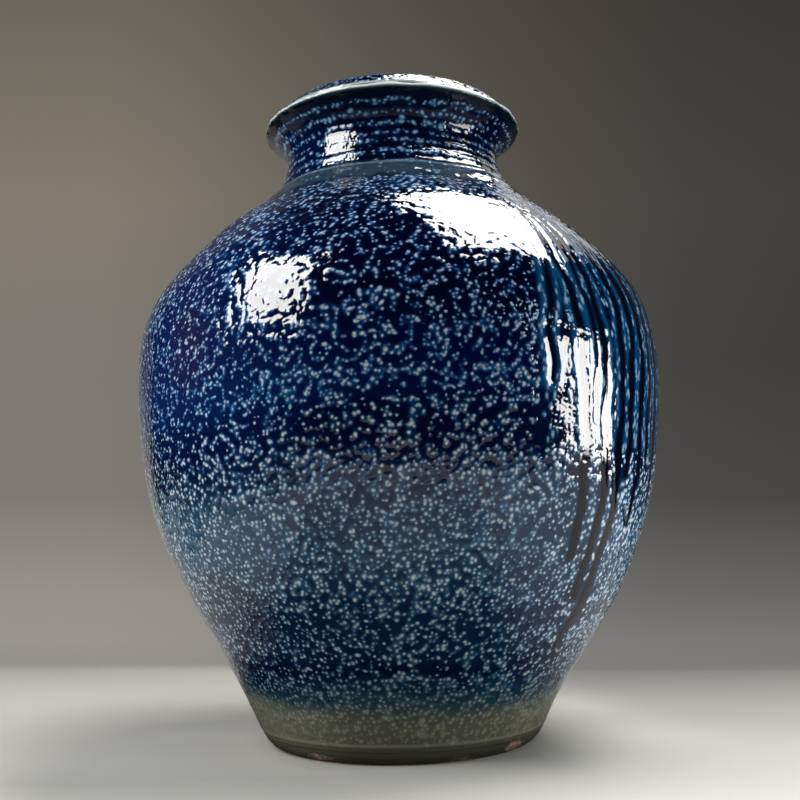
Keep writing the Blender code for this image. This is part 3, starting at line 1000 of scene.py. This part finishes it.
CROWNS = (
    (0, (0.110, 0.110, 0.080)), (12, (0.215, 0.218, 0.160)), (24, (0.240, 0.248, 0.186)),
    (38, (0.275, 0.300, 0.300)), (60, (0.370, 0.395, 0.380)), (85, (0.405, 0.435, 0.425)),
    (110, (0.430, 0.465, 0.450)), (140, (0.385, 0.410, 0.400)), (182, (0.390, 0.415, 0.405)),
    (205, (0.370, 0.400, 0.405)), (235, (0.340, 0.410, 0.455)), (300, (0.375, 0.460, 0.520)),
    (322, (0.260, 0.380, 0.500)), (357, (0.170, 0.280, 0.370)),
)
RAMP_SPAN = 400.0
LID_RAMP_Z = 330.0              # the lid takes the colours of this height
GLAZE_FIELDS = (
    "core", "mass", "flow", "sheet", "crest", "bare", "liner", "inner", "lip", "scar",
)


def belly_blues(tree, at, thick, colour):
    """A teal band across the left and middle, and royal blue high on the left."""
    teal = tree.step(at.x, 20.0, -90.0) * tree.band(at.wavy_z, 186.0, 16.0, 4.0)
    colour = tree.mix(teal * 0.40 * (0.15 + thick), colour, (0.004, 0.066, 0.160))
    royal = tree.step(at.x, -20.0, -125.0) * tree.step(at.z, 140.0, 190.0)
    blues = tree.mix(thick, (0.0012, 0.012, 0.072), (0.005, 0.085, 0.255))
    return tree.mix(royal * 0.75, colour, blues)


def flank_tints_and_painted_side_light(tree, at, colour, crowns):
    """A blush and a teal band on the left, and crowns painted paler on both flanks as painted side
    light.
    """
    y = at.y * 1000.0
    across, up = (at.x + 105.0) / 11.0, (at.z - 214.0) / 24.0
    blush = tree.math("EXPONENT", (across * across + up * up) * -1.0)
    blush = blush * tree.step(y, 0.0, -20.0) * tree.step(at.mid, 0.30, 0.60, to=(0.35, 1.0))
    colour = tree.mix(blush * 0.72, colour, (0.0150, 0.0100, 0.0400))
    teal = tree.step(at.x, -40.0, -115.0) * tree.band(at.wavy_z, 116.0, 26.0, 8.0)
    colour = tree.mix(teal * 0.55, colour, (0.026, 0.085, 0.150))
    # painted side light: crowns paler on both flanks, more at the front
    left = tree.step(at.x, -30.0, -115.0, to=(0.0, 0.80))
    right = tree.step(at.x, 45.0, 100.0, to=(0.0, 0.80))
    side = tree.math("MAXIMUM", left, right) * tree.step(y, 40.0, -30.0, to=(0.40, 1.0))
    crowns = tree.mix(side * tree.step(at.z, 34.0, 60.0), crowns, (0.600, 0.680, 0.740))
    return colour, crowns


def foot_and_neck_tints(tree, at, crown, colour):
    # ash on both sides of the foot
    ash = tree.step(abs(at.x + -8.0), 25.0, 95.0) * tree.step(at.wavy_z, 36.0, 24.0)
    ash_tone = tree.mix(crown, (0.165, 0.168, 0.125), (0.320, 0.325, 0.265))
    colour = tree.mix(ash * 0.55, colour, ash_tone)
    # the calm grey collar at the neck's foot and its pale ledge
    collar = tree.band(at.wavy_z, 312.0, 8.5, 3.0) * 0.50
    colour = tree.mix(collar, colour, (0.040, 0.075, 0.110))
    ledge = tree.band(at.z + (at.mid - 0.5) * 2.0, 317.9, 1.5, 0.5)
    colour = tree.mix(ledge * 0.60, colour, (0.110, 0.190, 0.240))
    # teal under the lip
    lip_tone = (0.0003, 0.0030, 0.0090), (0.020, 0.050, 0.070)
    under_lip = tree.mix(tree.step(at.z, 358.7, 359.8), *lip_tone)
    colour = tree.mix(tree.step(at.z, 355.0, 356.4) * 0.95, colour, under_lip)
    # the foot darker below z 9.6, and a painted highlight along the pale edge above it
    colour = tree.mix(tree.step(at.z, 9.6, 7.8) * 0.55, colour, (0.040, 0.042, 0.027))
    edge = tree.band(at.z, 10.5, 1.5, 0.4)
    return tree.mix(edge * 0.45, colour, (0.215, 0.215, 0.160))


def run_and_liner_tones(tree, at, glaze, colour):
    """Dark runs, pale lip with a painted highlight, the linings, and the bare clay."""
    colour = tree.mix(glaze.flow * 0.97, colour, (0.0008, 0.0014, 0.0050))
    # the lip's pale thin glaze, made lighter still as a painted highlight along the rim
    lip_tone = tree.mix(at.mid, (0.400, 0.450, 0.440), (0.540, 0.580, 0.560))
    colour = tree.mix(glaze.lip, colour, lip_tone)
    # seal channel, collar and lid underside: thin even blue glaze
    lining = tree.step(at.mid, 0.35, 0.7)
    lining = tree.mix(lining, (0.004, 0.020, 0.065), (0.020, 0.070, 0.130))
    lining = tree.mix(tree.step(at.small, 0.56, 0.70), lining, (0.14, 0.22, 0.27))
    colour = tree.mix(glaze.liner * (1.0 - glaze.lip), colour, lining)
    # inside: brown slip glaze
    slip = tree.mix(tree.step(at.mid, 0.3, 0.7), (0.030, 0.012, 0.005), (0.085, 0.036, 0.013))
    slip = tree.mix(tree.step(at.small, 0.62, 0.74), slip, (0.16, 0.085, 0.035))
    colour = tree.mix(glaze.inner, colour, slip)
    clay = tree.mix(tree.step(at.mid, 0.3, 0.75), (0.145, 0.110, 0.075), (0.200, 0.120, 0.066))
    clay = tree.mix(tree.step(at.small, 0.60, 0.72), clay, (0.055, 0.032, 0.020))
    colour = tree.mix(glaze.bare, colour, clay)
    rust = tree.step(at.small, 0.40, 0.66)
    rust = tree.mix(rust, (0.110, 0.060, 0.030), (0.330, 0.275, 0.205))
    return tree.mix(glaze.scar, colour, rust)


def glaze_material(name, on_lid=False):
    material = bpy.data.materials.new(name)
    tree = Tree(material)
    coord = tree.coordinates("Object")
    x, y, z = tree.split(coord)
    at = SimpleNamespace(                                   # x and z in mm, y in metres
        x=x * 1000.0, y=y, z=z * 1000.0,
        big=tree.noise(coord, 14.0, detail=3.0, rough=0.55),
        mid=tree.noise(coord, 70.0, detail=3.0, rough=0.55),
        small=tree.noise(coord, 420.0, detail=3.0, rough=0.6),
        edge=tree.noise(coord, 780.0, detail=2.0, rough=0.55),
    )
    if not on_lid:
        at.wavy_z = at.z + (at.mid - 0.5) * 9.0 + (at.big - 0.5) * 16.0
    ramp_z = LID_RAMP_Z if on_lid else at.wavy_z
    glaze = SimpleNamespace(**{field: tree.attribute(field) for field in GLAZE_FIELDS})

    # the glaze thins to blue round each bead and to pale on its crown
    thick = tree.step(glaze.mass * 0.75 + glaze.core * 0.55, 0.22, 0.95)
    patchy = tree.step(at.mid, 0.20, 0.75, to=(0.72, 1.15))
    thick = tree.math("MULTIPLY", thick, patchy, clamp=True)
    crown = tree.step(glaze.core + (at.edge - 0.5) * 0.40, 0.40, 0.98, kind="LINEAR")
    crown = crown * (1.0 if on_lid else tree.step(at.wavy_z, 26.0, 38.0, to=(0.62, 1.0)))
    hollows, around, crowns = (
        tree.ramp(ramp_z, stops, RAMP_SPAN) for stops in (HOLLOWS, AROUND, CROWNS)
    )
    colour = tree.mix(thick, hollows, around)

    if not on_lid:
        colour = belly_blues(tree, at, thick, colour)
    violet = tree.step(at.x, -40.0, -130.0) * tree.step(at.z, 170.0, 240.0)
    violet = violet * tree.step(at.big, 0.45, 0.62) * 0.35
    colour = tree.mix(violet, colour, (0.020, 0.014, 0.070))
    if not on_lid:
        colour, crowns = flank_tints_and_painted_side_light(tree, at, colour, crowns)

    # the sheet of runs: dark channels, blue crests and duller beads
    rib = glaze.sheet * tree.step(at.z, 140.0, 158.0)
    crest = tree.math("MAXIMUM", glaze.crest, thick * 0.55)
    rib_tone = tree.mix(crest, (0.0004, 0.003, 0.018), (0.002, 0.052, 0.140))
    colour = tree.mix(rib * 0.80, colour, rib_tone)
    crown_tone = tree.mix(rib * 0.80, crowns, (0.130, 0.260, 0.350))
    crown = crown * tree.step(rib, 0.2, 0.9, to=(1.0, 0.85))
    colour = tree.mix(crown, colour, crown_tone)
    if not on_lid:
        colour = foot_and_neck_tints(tree, at, crown, colour)
    colour = run_and_liner_tones(tree, at, glaze, colour)

    # glassy; duller at the foot, rough and less shiny where bare
    rough = 0.045 + (at.small - 0.5) * 0.02
    shine = 0.85
    if not on_lid:
        rough = rough + tree.step(at.wavy_z, 46.0, 22.0, to=(0.0, 0.20))
        shine = tree.step(at.z, 338.0, 351.0, to=(0.85, 0.20))
    rough = rough + tree.math("ADD", glaze.bare, glaze.scar, clamp=True) * 0.60
    shine = shine - tree.math("ADD", glaze.bare, glaze.scar, clamp=True) * 0.55
    shader = tree.node("BsdfPrincipled", {
        "Base Color": colour, "Roughness": rough, "IOR": 1.52, "Specular IOR Level": shine,
        "Normal": tree.bump(at.small, strength=0.12, distance=0.0002),
    })
    tree.add("OutputMaterial", {0: shader})
    return material


def stoneware_material(name, tone, shift):
    """Bare speckled clay; shift moves the texture so that the pieces differ."""
    material = bpy.data.materials.new(name)
    tree = Tree(material)
    offset = (shift, shift * 0.37, 0.0)
    inputs = {0: tree.coordinates("Object"), 1: offset}
    coord = tree.node("VectorMath", inputs, operation="ADD")
    big = tree.noise(coord, 22.0, detail=3.0, rough=0.6)
    mid = tree.noise(coord, 160.0, detail=3.0, rough=0.6)
    small = tree.noise(coord, 900.0, detail=3.0, rough=0.65)
    dark, light = (tuple(v * scale for v in tone) for scale in (0.86, 1.10))
    colour = tree.mix(tree.step(big, 0.3, 0.7), dark, light)
    # rusty clouds, dark specks, pale grains
    colour = tree.mix(tree.step(big, 0.52, 0.72) * 0.35, colour, (0.300, 0.150, 0.070))
    colour = tree.mix(tree.step(mid, 0.62, 0.70) * 0.75, colour, (0.080, 0.050, 0.032))
    colour = tree.mix(tree.step(small, 0.55, 0.75) * 0.30, colour, (0.450, 0.410, 0.330))
    shader = tree.node("BsdfPrincipled", {
        "Base Color": colour,
        "Roughness": tree.step(mid, 0.2, 0.8, to=(0.68, 0.86)),
        "Specular IOR Level": 0.35,
        "Normal": tree.bump(small, strength=0.35, distance=0.0003),
    })
    tree.add("OutputMaterial", {0: shader})
    return material


def dress(obj, material):
    obj.data.materials.clear()
    obj.data.materials.append(material)


# ------------------------------------------------------------------ floor, metres
FLOOR_HALF_WIDTH = 1.10
FLOOR_BACK = 0.365
FLOOR_FRONT = 0.66
FLOOR_TILT = 0.2007             # skew of the back edge, y per x

# grey of the paper with painted light falloff, darker from front to back: (y + tilt * x + 0.20,
# grey), left and right of the jar
PAPER_GREY_AND_FALLOFF_LEFT = (
    (0.00, 0.50), (0.10, 0.40), (0.17, 0.33), (0.27, 0.335), (0.33, 0.330), (0.41, 0.305),
    (0.46, 0.285), (0.53, 0.245),
)
PAPER_GREY_AND_FALLOFF_RIGHT = (
    (0.00, 0.50), (0.10, 0.41), (0.20, 0.33), (0.25, 0.290), (0.34, 0.230), (0.42, 0.175),
    (0.51, 0.105), (0.54, 0.095),
)
# painted shadow of the jar on the left, as half of a factor on that tone: (y + 0.20, value), near the
# jar and farther out
SHADE_NEAR = (
    (0.050, 0.51), (0.072, 0.45), (0.103, 0.43), (0.150, 0.54), (0.208, 0.60), (0.255, 0.52),
    (0.310, 0.50), (0.350, 0.555), (0.500, 0.55),
)
SHADE_FAR = (
    (0.045, 0.86), (0.080, 0.76), (0.112, 0.67), (0.160, 0.70), (0.208, 0.675), (0.255, 0.62),
    (0.310, 0.58), (0.400, 0.56), (0.500, 0.535),
)
# painted reflection: glow that only the glaze's mirror rays see on the paper in front: (-y, strength)
FRONT_GLOW = (
    (0.00, 0.0), (0.18, 0.005), (0.20, 0.03), (0.22, 0.11), (0.24, 0.20), (0.27, 0.25),
    (0.33, 0.24), (0.40, 0.28), (0.50, 0.40), (0.62, 0.60),
)


# the paper's grey with painted light and shade: falloff, the jar's shadow, pools of light
def paper_tone_and_painted_shade(tree, x, y, tilted_y):
    def pool(centre_x, centre_y, half_x, half_y):
        """Soft oval spot on the paper, for painted pools of light and painted shadow."""
        square = ((x - centre_x) / half_x) ** 2.0 + ((y - centre_y) / half_y) ** 2.0
        return tree.math("EXPONENT", square * -1.0)

    back = tilted_y + 0.20
    left = tree.grey_ramp(back, PAPER_GREY_AND_FALLOFF_LEFT, 0.6)
    right = tree.grey_ramp(back, PAPER_GREY_AND_FALLOFF_RIGHT, 0.6)
    tone = tree.red(tree.mix(tree.step(x, -0.05, 0.16), left, right))
    # painted shadow of the jar on the left, near it and farther out
    near = tree.grey_ramp(y + 0.20, SHADE_NEAR, 0.6)
    far = tree.grey_ramp(y + 0.20, SHADE_FAR, 0.6)
    shade_left = tree.red(tree.mix(tree.step(x, -0.16, -0.27), near, far))
    # right of the jar: a painted shade factor, two painted pools of light and a painted shadow spot
    shade_right = tree.step(y, -0.13, -0.03, to=(0.555, 0.675))
    shade_right = shade_right + pool(0.102, 0.088, 0.042, 0.070) * 0.26 + (
        pool(0.132, -0.008, 0.045, 0.045) * 0.15 - pool(0.072, -0.072, 0.025, 0.030) * 0.15
    )
    shade = tree.red(tree.mix(tree.step(x, -0.05, 0.05), shade_left, shade_right)) * 2.0
    return tone * shade


def paper_glow(tree, x, y, tilted_y):
    """Painted reflection, a glow of the paper that only mirror rays see: dim in the jar's own shadow,
    bright in front and at the sides.
    """
    front = tree.red(tree.grey_ramp(y * -1.0, FRONT_GLOW, 0.7))
    front = front * tree.step(x, -0.40, -0.16, to=(0.05, 1.0))
    right = tree.step(x, 0.08, 0.19, to=(0.0, 0.42))
    left = tree.step(x, -0.13, -0.20, to=(0.0, 0.42)) * tree.step(x, -0.46, -0.33)
    back = tree.step(tilted_y, 0.02, 0.10, to=(0.0, 0.42))
    front_right = tree.math("MAXIMUM", front, right)
    left_back = tree.math("MAXIMUM", left, back)
    return tree.math("MAXIMUM", front_right, left_back)


def paper_material():
    material = bpy.data.materials.new("floor_paper")
    tree = Tree(material)
    coord = tree.coordinates("Object")
    x, y, _ = tree.split(coord)
    tilted_y = y + x * FLOOR_TILT
    tone = paper_tone_and_painted_shade(tree, x, y, tilted_y)
    tone = tone * (0.97 + tree.noise(coord, 900.0) * 0.06)
    tone = tone * (0.95 + tree.noise(coord, 6.0) * 0.10)
    colour = tree.node("CombineColor", {0: tone, 1: tone * 0.995, 2: tone * 0.93})
    paper = tree.node("BsdfPrincipled", {
        "Base Color": colour, "Roughness": 0.75, "Specular IOR Level": 0.2,
    })
    # painted reflection: mirror rays see the paper glow instead of the lit paper
    shine = paper_glow(tree, x, y, tilted_y)
    glow = tree.node("Emission", {"Color": (1.0, 0.97, 0.93), "Strength": shine})
    mirrored = tree.node("LightPath", output="Is Glossy Ray")
    shader = tree.node("MixShader", {"Fac": mirrored, 1: paper, 2: glow})
    # the back edge fades into the backdrop
    fade = tree.step(tilted_y, 0.285, 0.352)
    clear = tree.node("BsdfTransparent")
    shader = tree.node("MixShader", {"Fac": fade, 1: shader, 2: clear})
    tree.add("OutputMaterial", {0: shader})
    return material


def build_floor():
    """Paper with a straight skewed back edge and a half-oval front."""
    wide, skew = FLOOR_HALF_WIDTH, FLOOR_TILT * FLOOR_HALF_WIDTH
    front = [
        (-wide * math.cos(a), -FLOOR_FRONT * math.sin(a))
        for a in np.linspace(0.04, math.pi - 0.04, 64)
    ]
    left, right = [(-wide, FLOOR_BACK + skew), (-wide, 0.0)], [(wide, 0.0), (wide, FLOOR_BACK - skew)]
    points = [(x, y, -0.0002) for x, y in left + front + right]
    mesh = bpy.data.meshes.new("floor")
    mesh.from_pydata(points, [], [tuple(range(len(points)))])
    floor = bpy.data.objects.new("floor", mesh)
    scene.collection.objects.link(floor)
    mesh.materials.append(paper_material())


# ------------------------------------------------------------------ backdrop
# the sweep the camera sees, its light and shade painted in, by height in the view: (0 bottom..1 top,
# linear rgb)
SWEEP_LEFT = (
    (0.00, (0.300, 0.290, 0.268)), (0.17, (0.296, 0.285, 0.262)), (0.20, (0.319, 0.303, 0.280)),
    (0.26, (0.305, 0.285, 0.258)), (0.38, (0.206, 0.197, 0.174)), (0.55, (0.209, 0.194, 0.166)),
    (0.75, (0.223, 0.202, 0.162)), (1.00, (0.150, 0.137, 0.107)),
)
SWEEP_RIGHT = (
    (0.00, (0.205, 0.200, 0.186)), (0.17, (0.200, 0.198, 0.184)), (0.20, (0.192, 0.188, 0.172)),
    (0.26, (0.138, 0.134, 0.123)), (0.38, (0.065, 0.063, 0.056)), (0.55, (0.052, 0.050, 0.043)),
    (0.75, (0.055, 0.053, 0.045)), (1.00, (0.044, 0.041, 0.034)),
)
# share of the right sweep, by place across the view
SWEEP_ACROSS = (
    (0.0, 0), (0.13, 0), (0.225, 0.12), (0.31, 0.29), (0.50, 0.62), (0.69, 0.84),
    (0.85, 0.96), (1.0, 1),
)
# the left wall that reflections see, by the ray's rise
MIRRORED_WALL = (
    (0.0, (0.400, 0.375, 0.330)), (0.10, (0.260, 0.245, 0.210)), (0.20, (0.205, 0.190, 0.160)),
    (1.0, (0.200, 0.185, 0.155)),
)


def build_world():
    """A warm grey sweep with painted light and shade, lighter at the left and low down; reflections
    see it behind the jar.
    """
    world = bpy.data.worlds.new("studio")
    scene.world = world
    tree = Tree(world)
    across, up, _ = tree.split(tree.coordinates("Window"))
    left, right = (tree.ramp(up, stops, 1.0) for stops in (SWEEP_LEFT, SWEEP_RIGHT))
    seen = tree.mix(tree.grey_ramp(across, SWEEP_ACROSS, 1.0), left, right)

    x, y, z = tree.split(tree.coordinates("Generated"))
    behind = tree.step(y - abs(x) * 1.1, -0.08, 0.12)
    low = tree.step(z, 0.75, 0.10)
    wall = tree.ramp(z, MIRRORED_WALL, 1.0)
    wall = tree.mix(tree.step(x, -0.3, 0.3), wall, (0.050, 0.047, 0.041))
    around = tree.mix(behind * low, (0.0040, 0.0042, 0.0050), wall)
    # a soft patch high up behind the jar
    inputs = {0: tree.coordinates("Generated"), 1: (-0.22, 0.68, 0.70)}
    facing = tree.node("VectorMath", inputs, output="Value", operation="DOT_PRODUCT")
    patch = tree.step(facing, 0.950, 0.990, to=(0.0, 0.9))
    around = tree.mix(patch, around, (0.110, 0.114, 0.125))

    colour = tree.mix(tree.node("LightPath", output="Is Camera Ray"), around, seen)
    tree.add("OutputWorld", {0: tree.node("Background", {"Color": colour, "Strength": 1.0})})


# ------------------------------------------------------------------ lights, metres
BOX_RADIANCE = 10.5
WARM = (1.0, 0.985, 0.955)
NEAR_WHITE = (1.0, 0.99, 0.97)
FILL_WHITE = (1.0, 0.99, 0.98)
FILL_TARGET = Vector((0.0, 0.0, 0.16))
# panels of the right box: edges (start, end) along it, then (bottom, top), from its centre
RIGHT_PANELS = (
    (-0.3638, 0.204, 0.04275, 0.3249),
    (-0.3162, 0.357, -0.12825, 0.04275),
    (-0.153, 0.408, -0.2337, -0.12825),
)
# fills: (name, centre, size, radiance)
FILLS = (
    ("fill_left", (-1.10, -0.60, 0.60), (0.8, 0.6), 2.3),
    ("fill_left_low", (-1.15, -0.45, 0.10), (0.8, 0.5), 0.7),
    ("fill_left_back", (-1.20, 0.10, 0.30), (0.8, 0.6), 1.7),
    ("fill_right_back", (1.20, 0.10, 0.30), (0.8, 0.6), 0.9),
    ("fill_front", (-0.25, -1.35, 0.85), (1.6, 1.2), 0.55),
)


def pose(x_axis, y_axis, z_axis, centre):
    """World matrix from three axes and a centre."""
    return Matrix(((*x_axis, 0), (*y_axis, 0), (*z_axis, 0), (*centre, 1))).transposed()


def softbox(name, centre, x_axis, y_axis, size, radiance, colour, mirrored=True):
    """Rectangular light that shines along -(x_axis cross y_axis)."""
    light = bpy.data.lights.new(name, "AREA")
    light.shape = "RECTANGLE"
    light.size, light.size_y = size
    light.energy = radiance * size[0] * size[1] * math.pi
    light.color = colour
    box = bpy.data.objects.new(name, light)
    across = Vector(x_axis).normalized()
    up = Vector(y_axis)
    up = (up - up.dot(across) * across).normalized()
    box.matrix_world = pose(across, up, across.cross(up), centre)
    scene.collection.objects.link(box)
    box.visible_camera = False
    box.visible_glossy = mirrored


def overhead_boxes():
    """The main box, turned a little, and two dim ones beside and behind it."""
    centre = Vector((0.57, 0.34, 1.27))
    x_axis, y_axis = Vector((0.73, 0.68, 0)), Vector((-0.68, 0.73, 0))
    turn = math.radians(-8)
    turned_x = math.cos(turn) * x_axis + math.sin(turn) * y_axis
    turned_y = -math.sin(turn) * x_axis + math.cos(turn) * y_axis
    for name, along, across, axes, size, radiance in (
        ("box_overhead", -0.130, -0.060, (turned_x, turned_y), (0.84, 0.80), BOX_RADIANCE),
        ("box_overhead_side", 0.560, 0.250, (x_axis, y_axis), (0.46, 0.58), 0.95),
        ("box_overhead_back", 0.700, 0.740, (x_axis, y_axis), (1.30, 0.34), 1.0),
    ):
        place = centre + along * x_axis + across * y_axis
        softbox(name, place, *axes, size, radiance, WARM)


def right_boxes():
    centre, along = Vector((1.285, -0.285, 0.235)), Vector((0.087, 0.996, 0))
    for k, (start, end, bottom, top) in enumerate(RIGHT_PANELS):
        place = centre + (start + end) / 2 * along + Vector((0, 0, (bottom + top) / 2))
        size = (end - start, top - bottom)
        softbox("box_right_%d" % (k + 1), place, along, (0, 0, 1), size, BOX_RADIANCE, NEAR_WHITE)


def left_box():
    """A tall box up on the left, turned in its own plane."""
    towards = Vector((-0.68, -0.30, 0.669))
    level = Vector((0.404, -0.915, 0.0))
    rising = Vector((0.612, 0.270, 0.743))
    centre = Vector((-0.06, -0.13, 0.23)) + 1.1 * towards
    long_axis = -0.377 * level + 0.926 * rising
    short_axis = 0.926 * level + 0.377 * rising
    softbox("box_left", centre, short_axis, long_axis, (0.50, 0.92), BOX_RADIANCE, NEAR_WHITE)


def fill_lights():
    """Soft lights that face the jar and leave no mirror image in the glaze."""
    for name, centre, size, radiance in FILLS:
        away = (Vector(centre) - FILL_TARGET).normalized()
        across = Vector((0, 0, 1)).cross(away).normalized()
        up = away.cross(across)
        softbox(name, centre, across, up, size, radiance, FILL_WHITE, mirrored=False)


def build_lights():
    overhead_boxes()
    right_boxes()
    left_box()
    softbox(
        "window_small", (1.63, -1.04, 1.02), (0.54, 0.84, 0), (0, 0, 1),
        size=(0.22, 0.20), radiance=6.0, colour=(0.50, 0.78, 1.0),
    )
    fill_lights()
    softbox(
        "bounce_right", (0.42, -0.10, 0.004), (1, 0, 0), (0, -1, 0),
        size=(0.42, 0.5), radiance=3.0, colour=FILL_WHITE, mirrored=False,
    )


# ------------------------------------------------------------------ camera
def build_camera():
    pitch, yaw, roll = (math.radians(a) for a in (7.34, 0.074, -1.42))
    level = math.cos(pitch)
    forward = Vector((math.sin(yaw) * level, math.cos(yaw) * level, math.sin(pitch)))
    right = Vector((math.cos(yaw), -math.sin(yaw), 0.0))
    up = right.cross(forward)
    rolled_right = right * math.cos(roll) + up * math.sin(roll)
    rolled_up = -right * math.sin(roll) + up * math.cos(roll)
    data = bpy.data.cameras.new("camera")
    data.sensor_width = 36.0
    data.lens = 46.9125
    data.clip_start = 0.01
    data.dof.use_dof = True
    data.dof.aperture_fstop = 13.0
    camera = bpy.data.objects.new("camera", data)
    camera.matrix_world = pose(rolled_right, rolled_up, -forward, (0.0, -0.6214, 0.1157))
    scene.collection.objects.link(camera)
    scene.camera = camera
    focus = bpy.data.objects.new("focus", None)             # keeps the jar sharp from any side
    focus.location = (0.0, -0.10, 0.19)
    scene.collection.objects.link(focus)
    data.dof.focus_object = focus


# ------------------------------------------------------------------ build
jar = build_jar()
lid = build_lid()
weights = [
    build_weight("weight_left_stone", "weight_left", side=1, seed=61),
    build_weight("weight_right_stone", "weight_right", side=-1, seed=71),
]

jar_glaze = glaze_material("cobalt_salt_glaze")
dress(jar, jar_glaze)
dress(lid, glaze_material("cobalt_salt_glaze_lid", on_lid=True))
for k, weight in enumerate(weights):
    name = "bare_stoneware_%d" % (k + 1)
    dress(weight, stoneware_material(name, tone=(0.330, 0.275, 0.205), shift=3.1 + 5.7 * k))
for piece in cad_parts.values():
    dress(piece, jar_glaze)

scene = bpy.context.scene
scene.view_settings.view_transform = "Standard"
scene.view_settings.look = "None"
build_floor()
build_world()
build_lights()
build_camera()

bpy.context.view_layer.update()
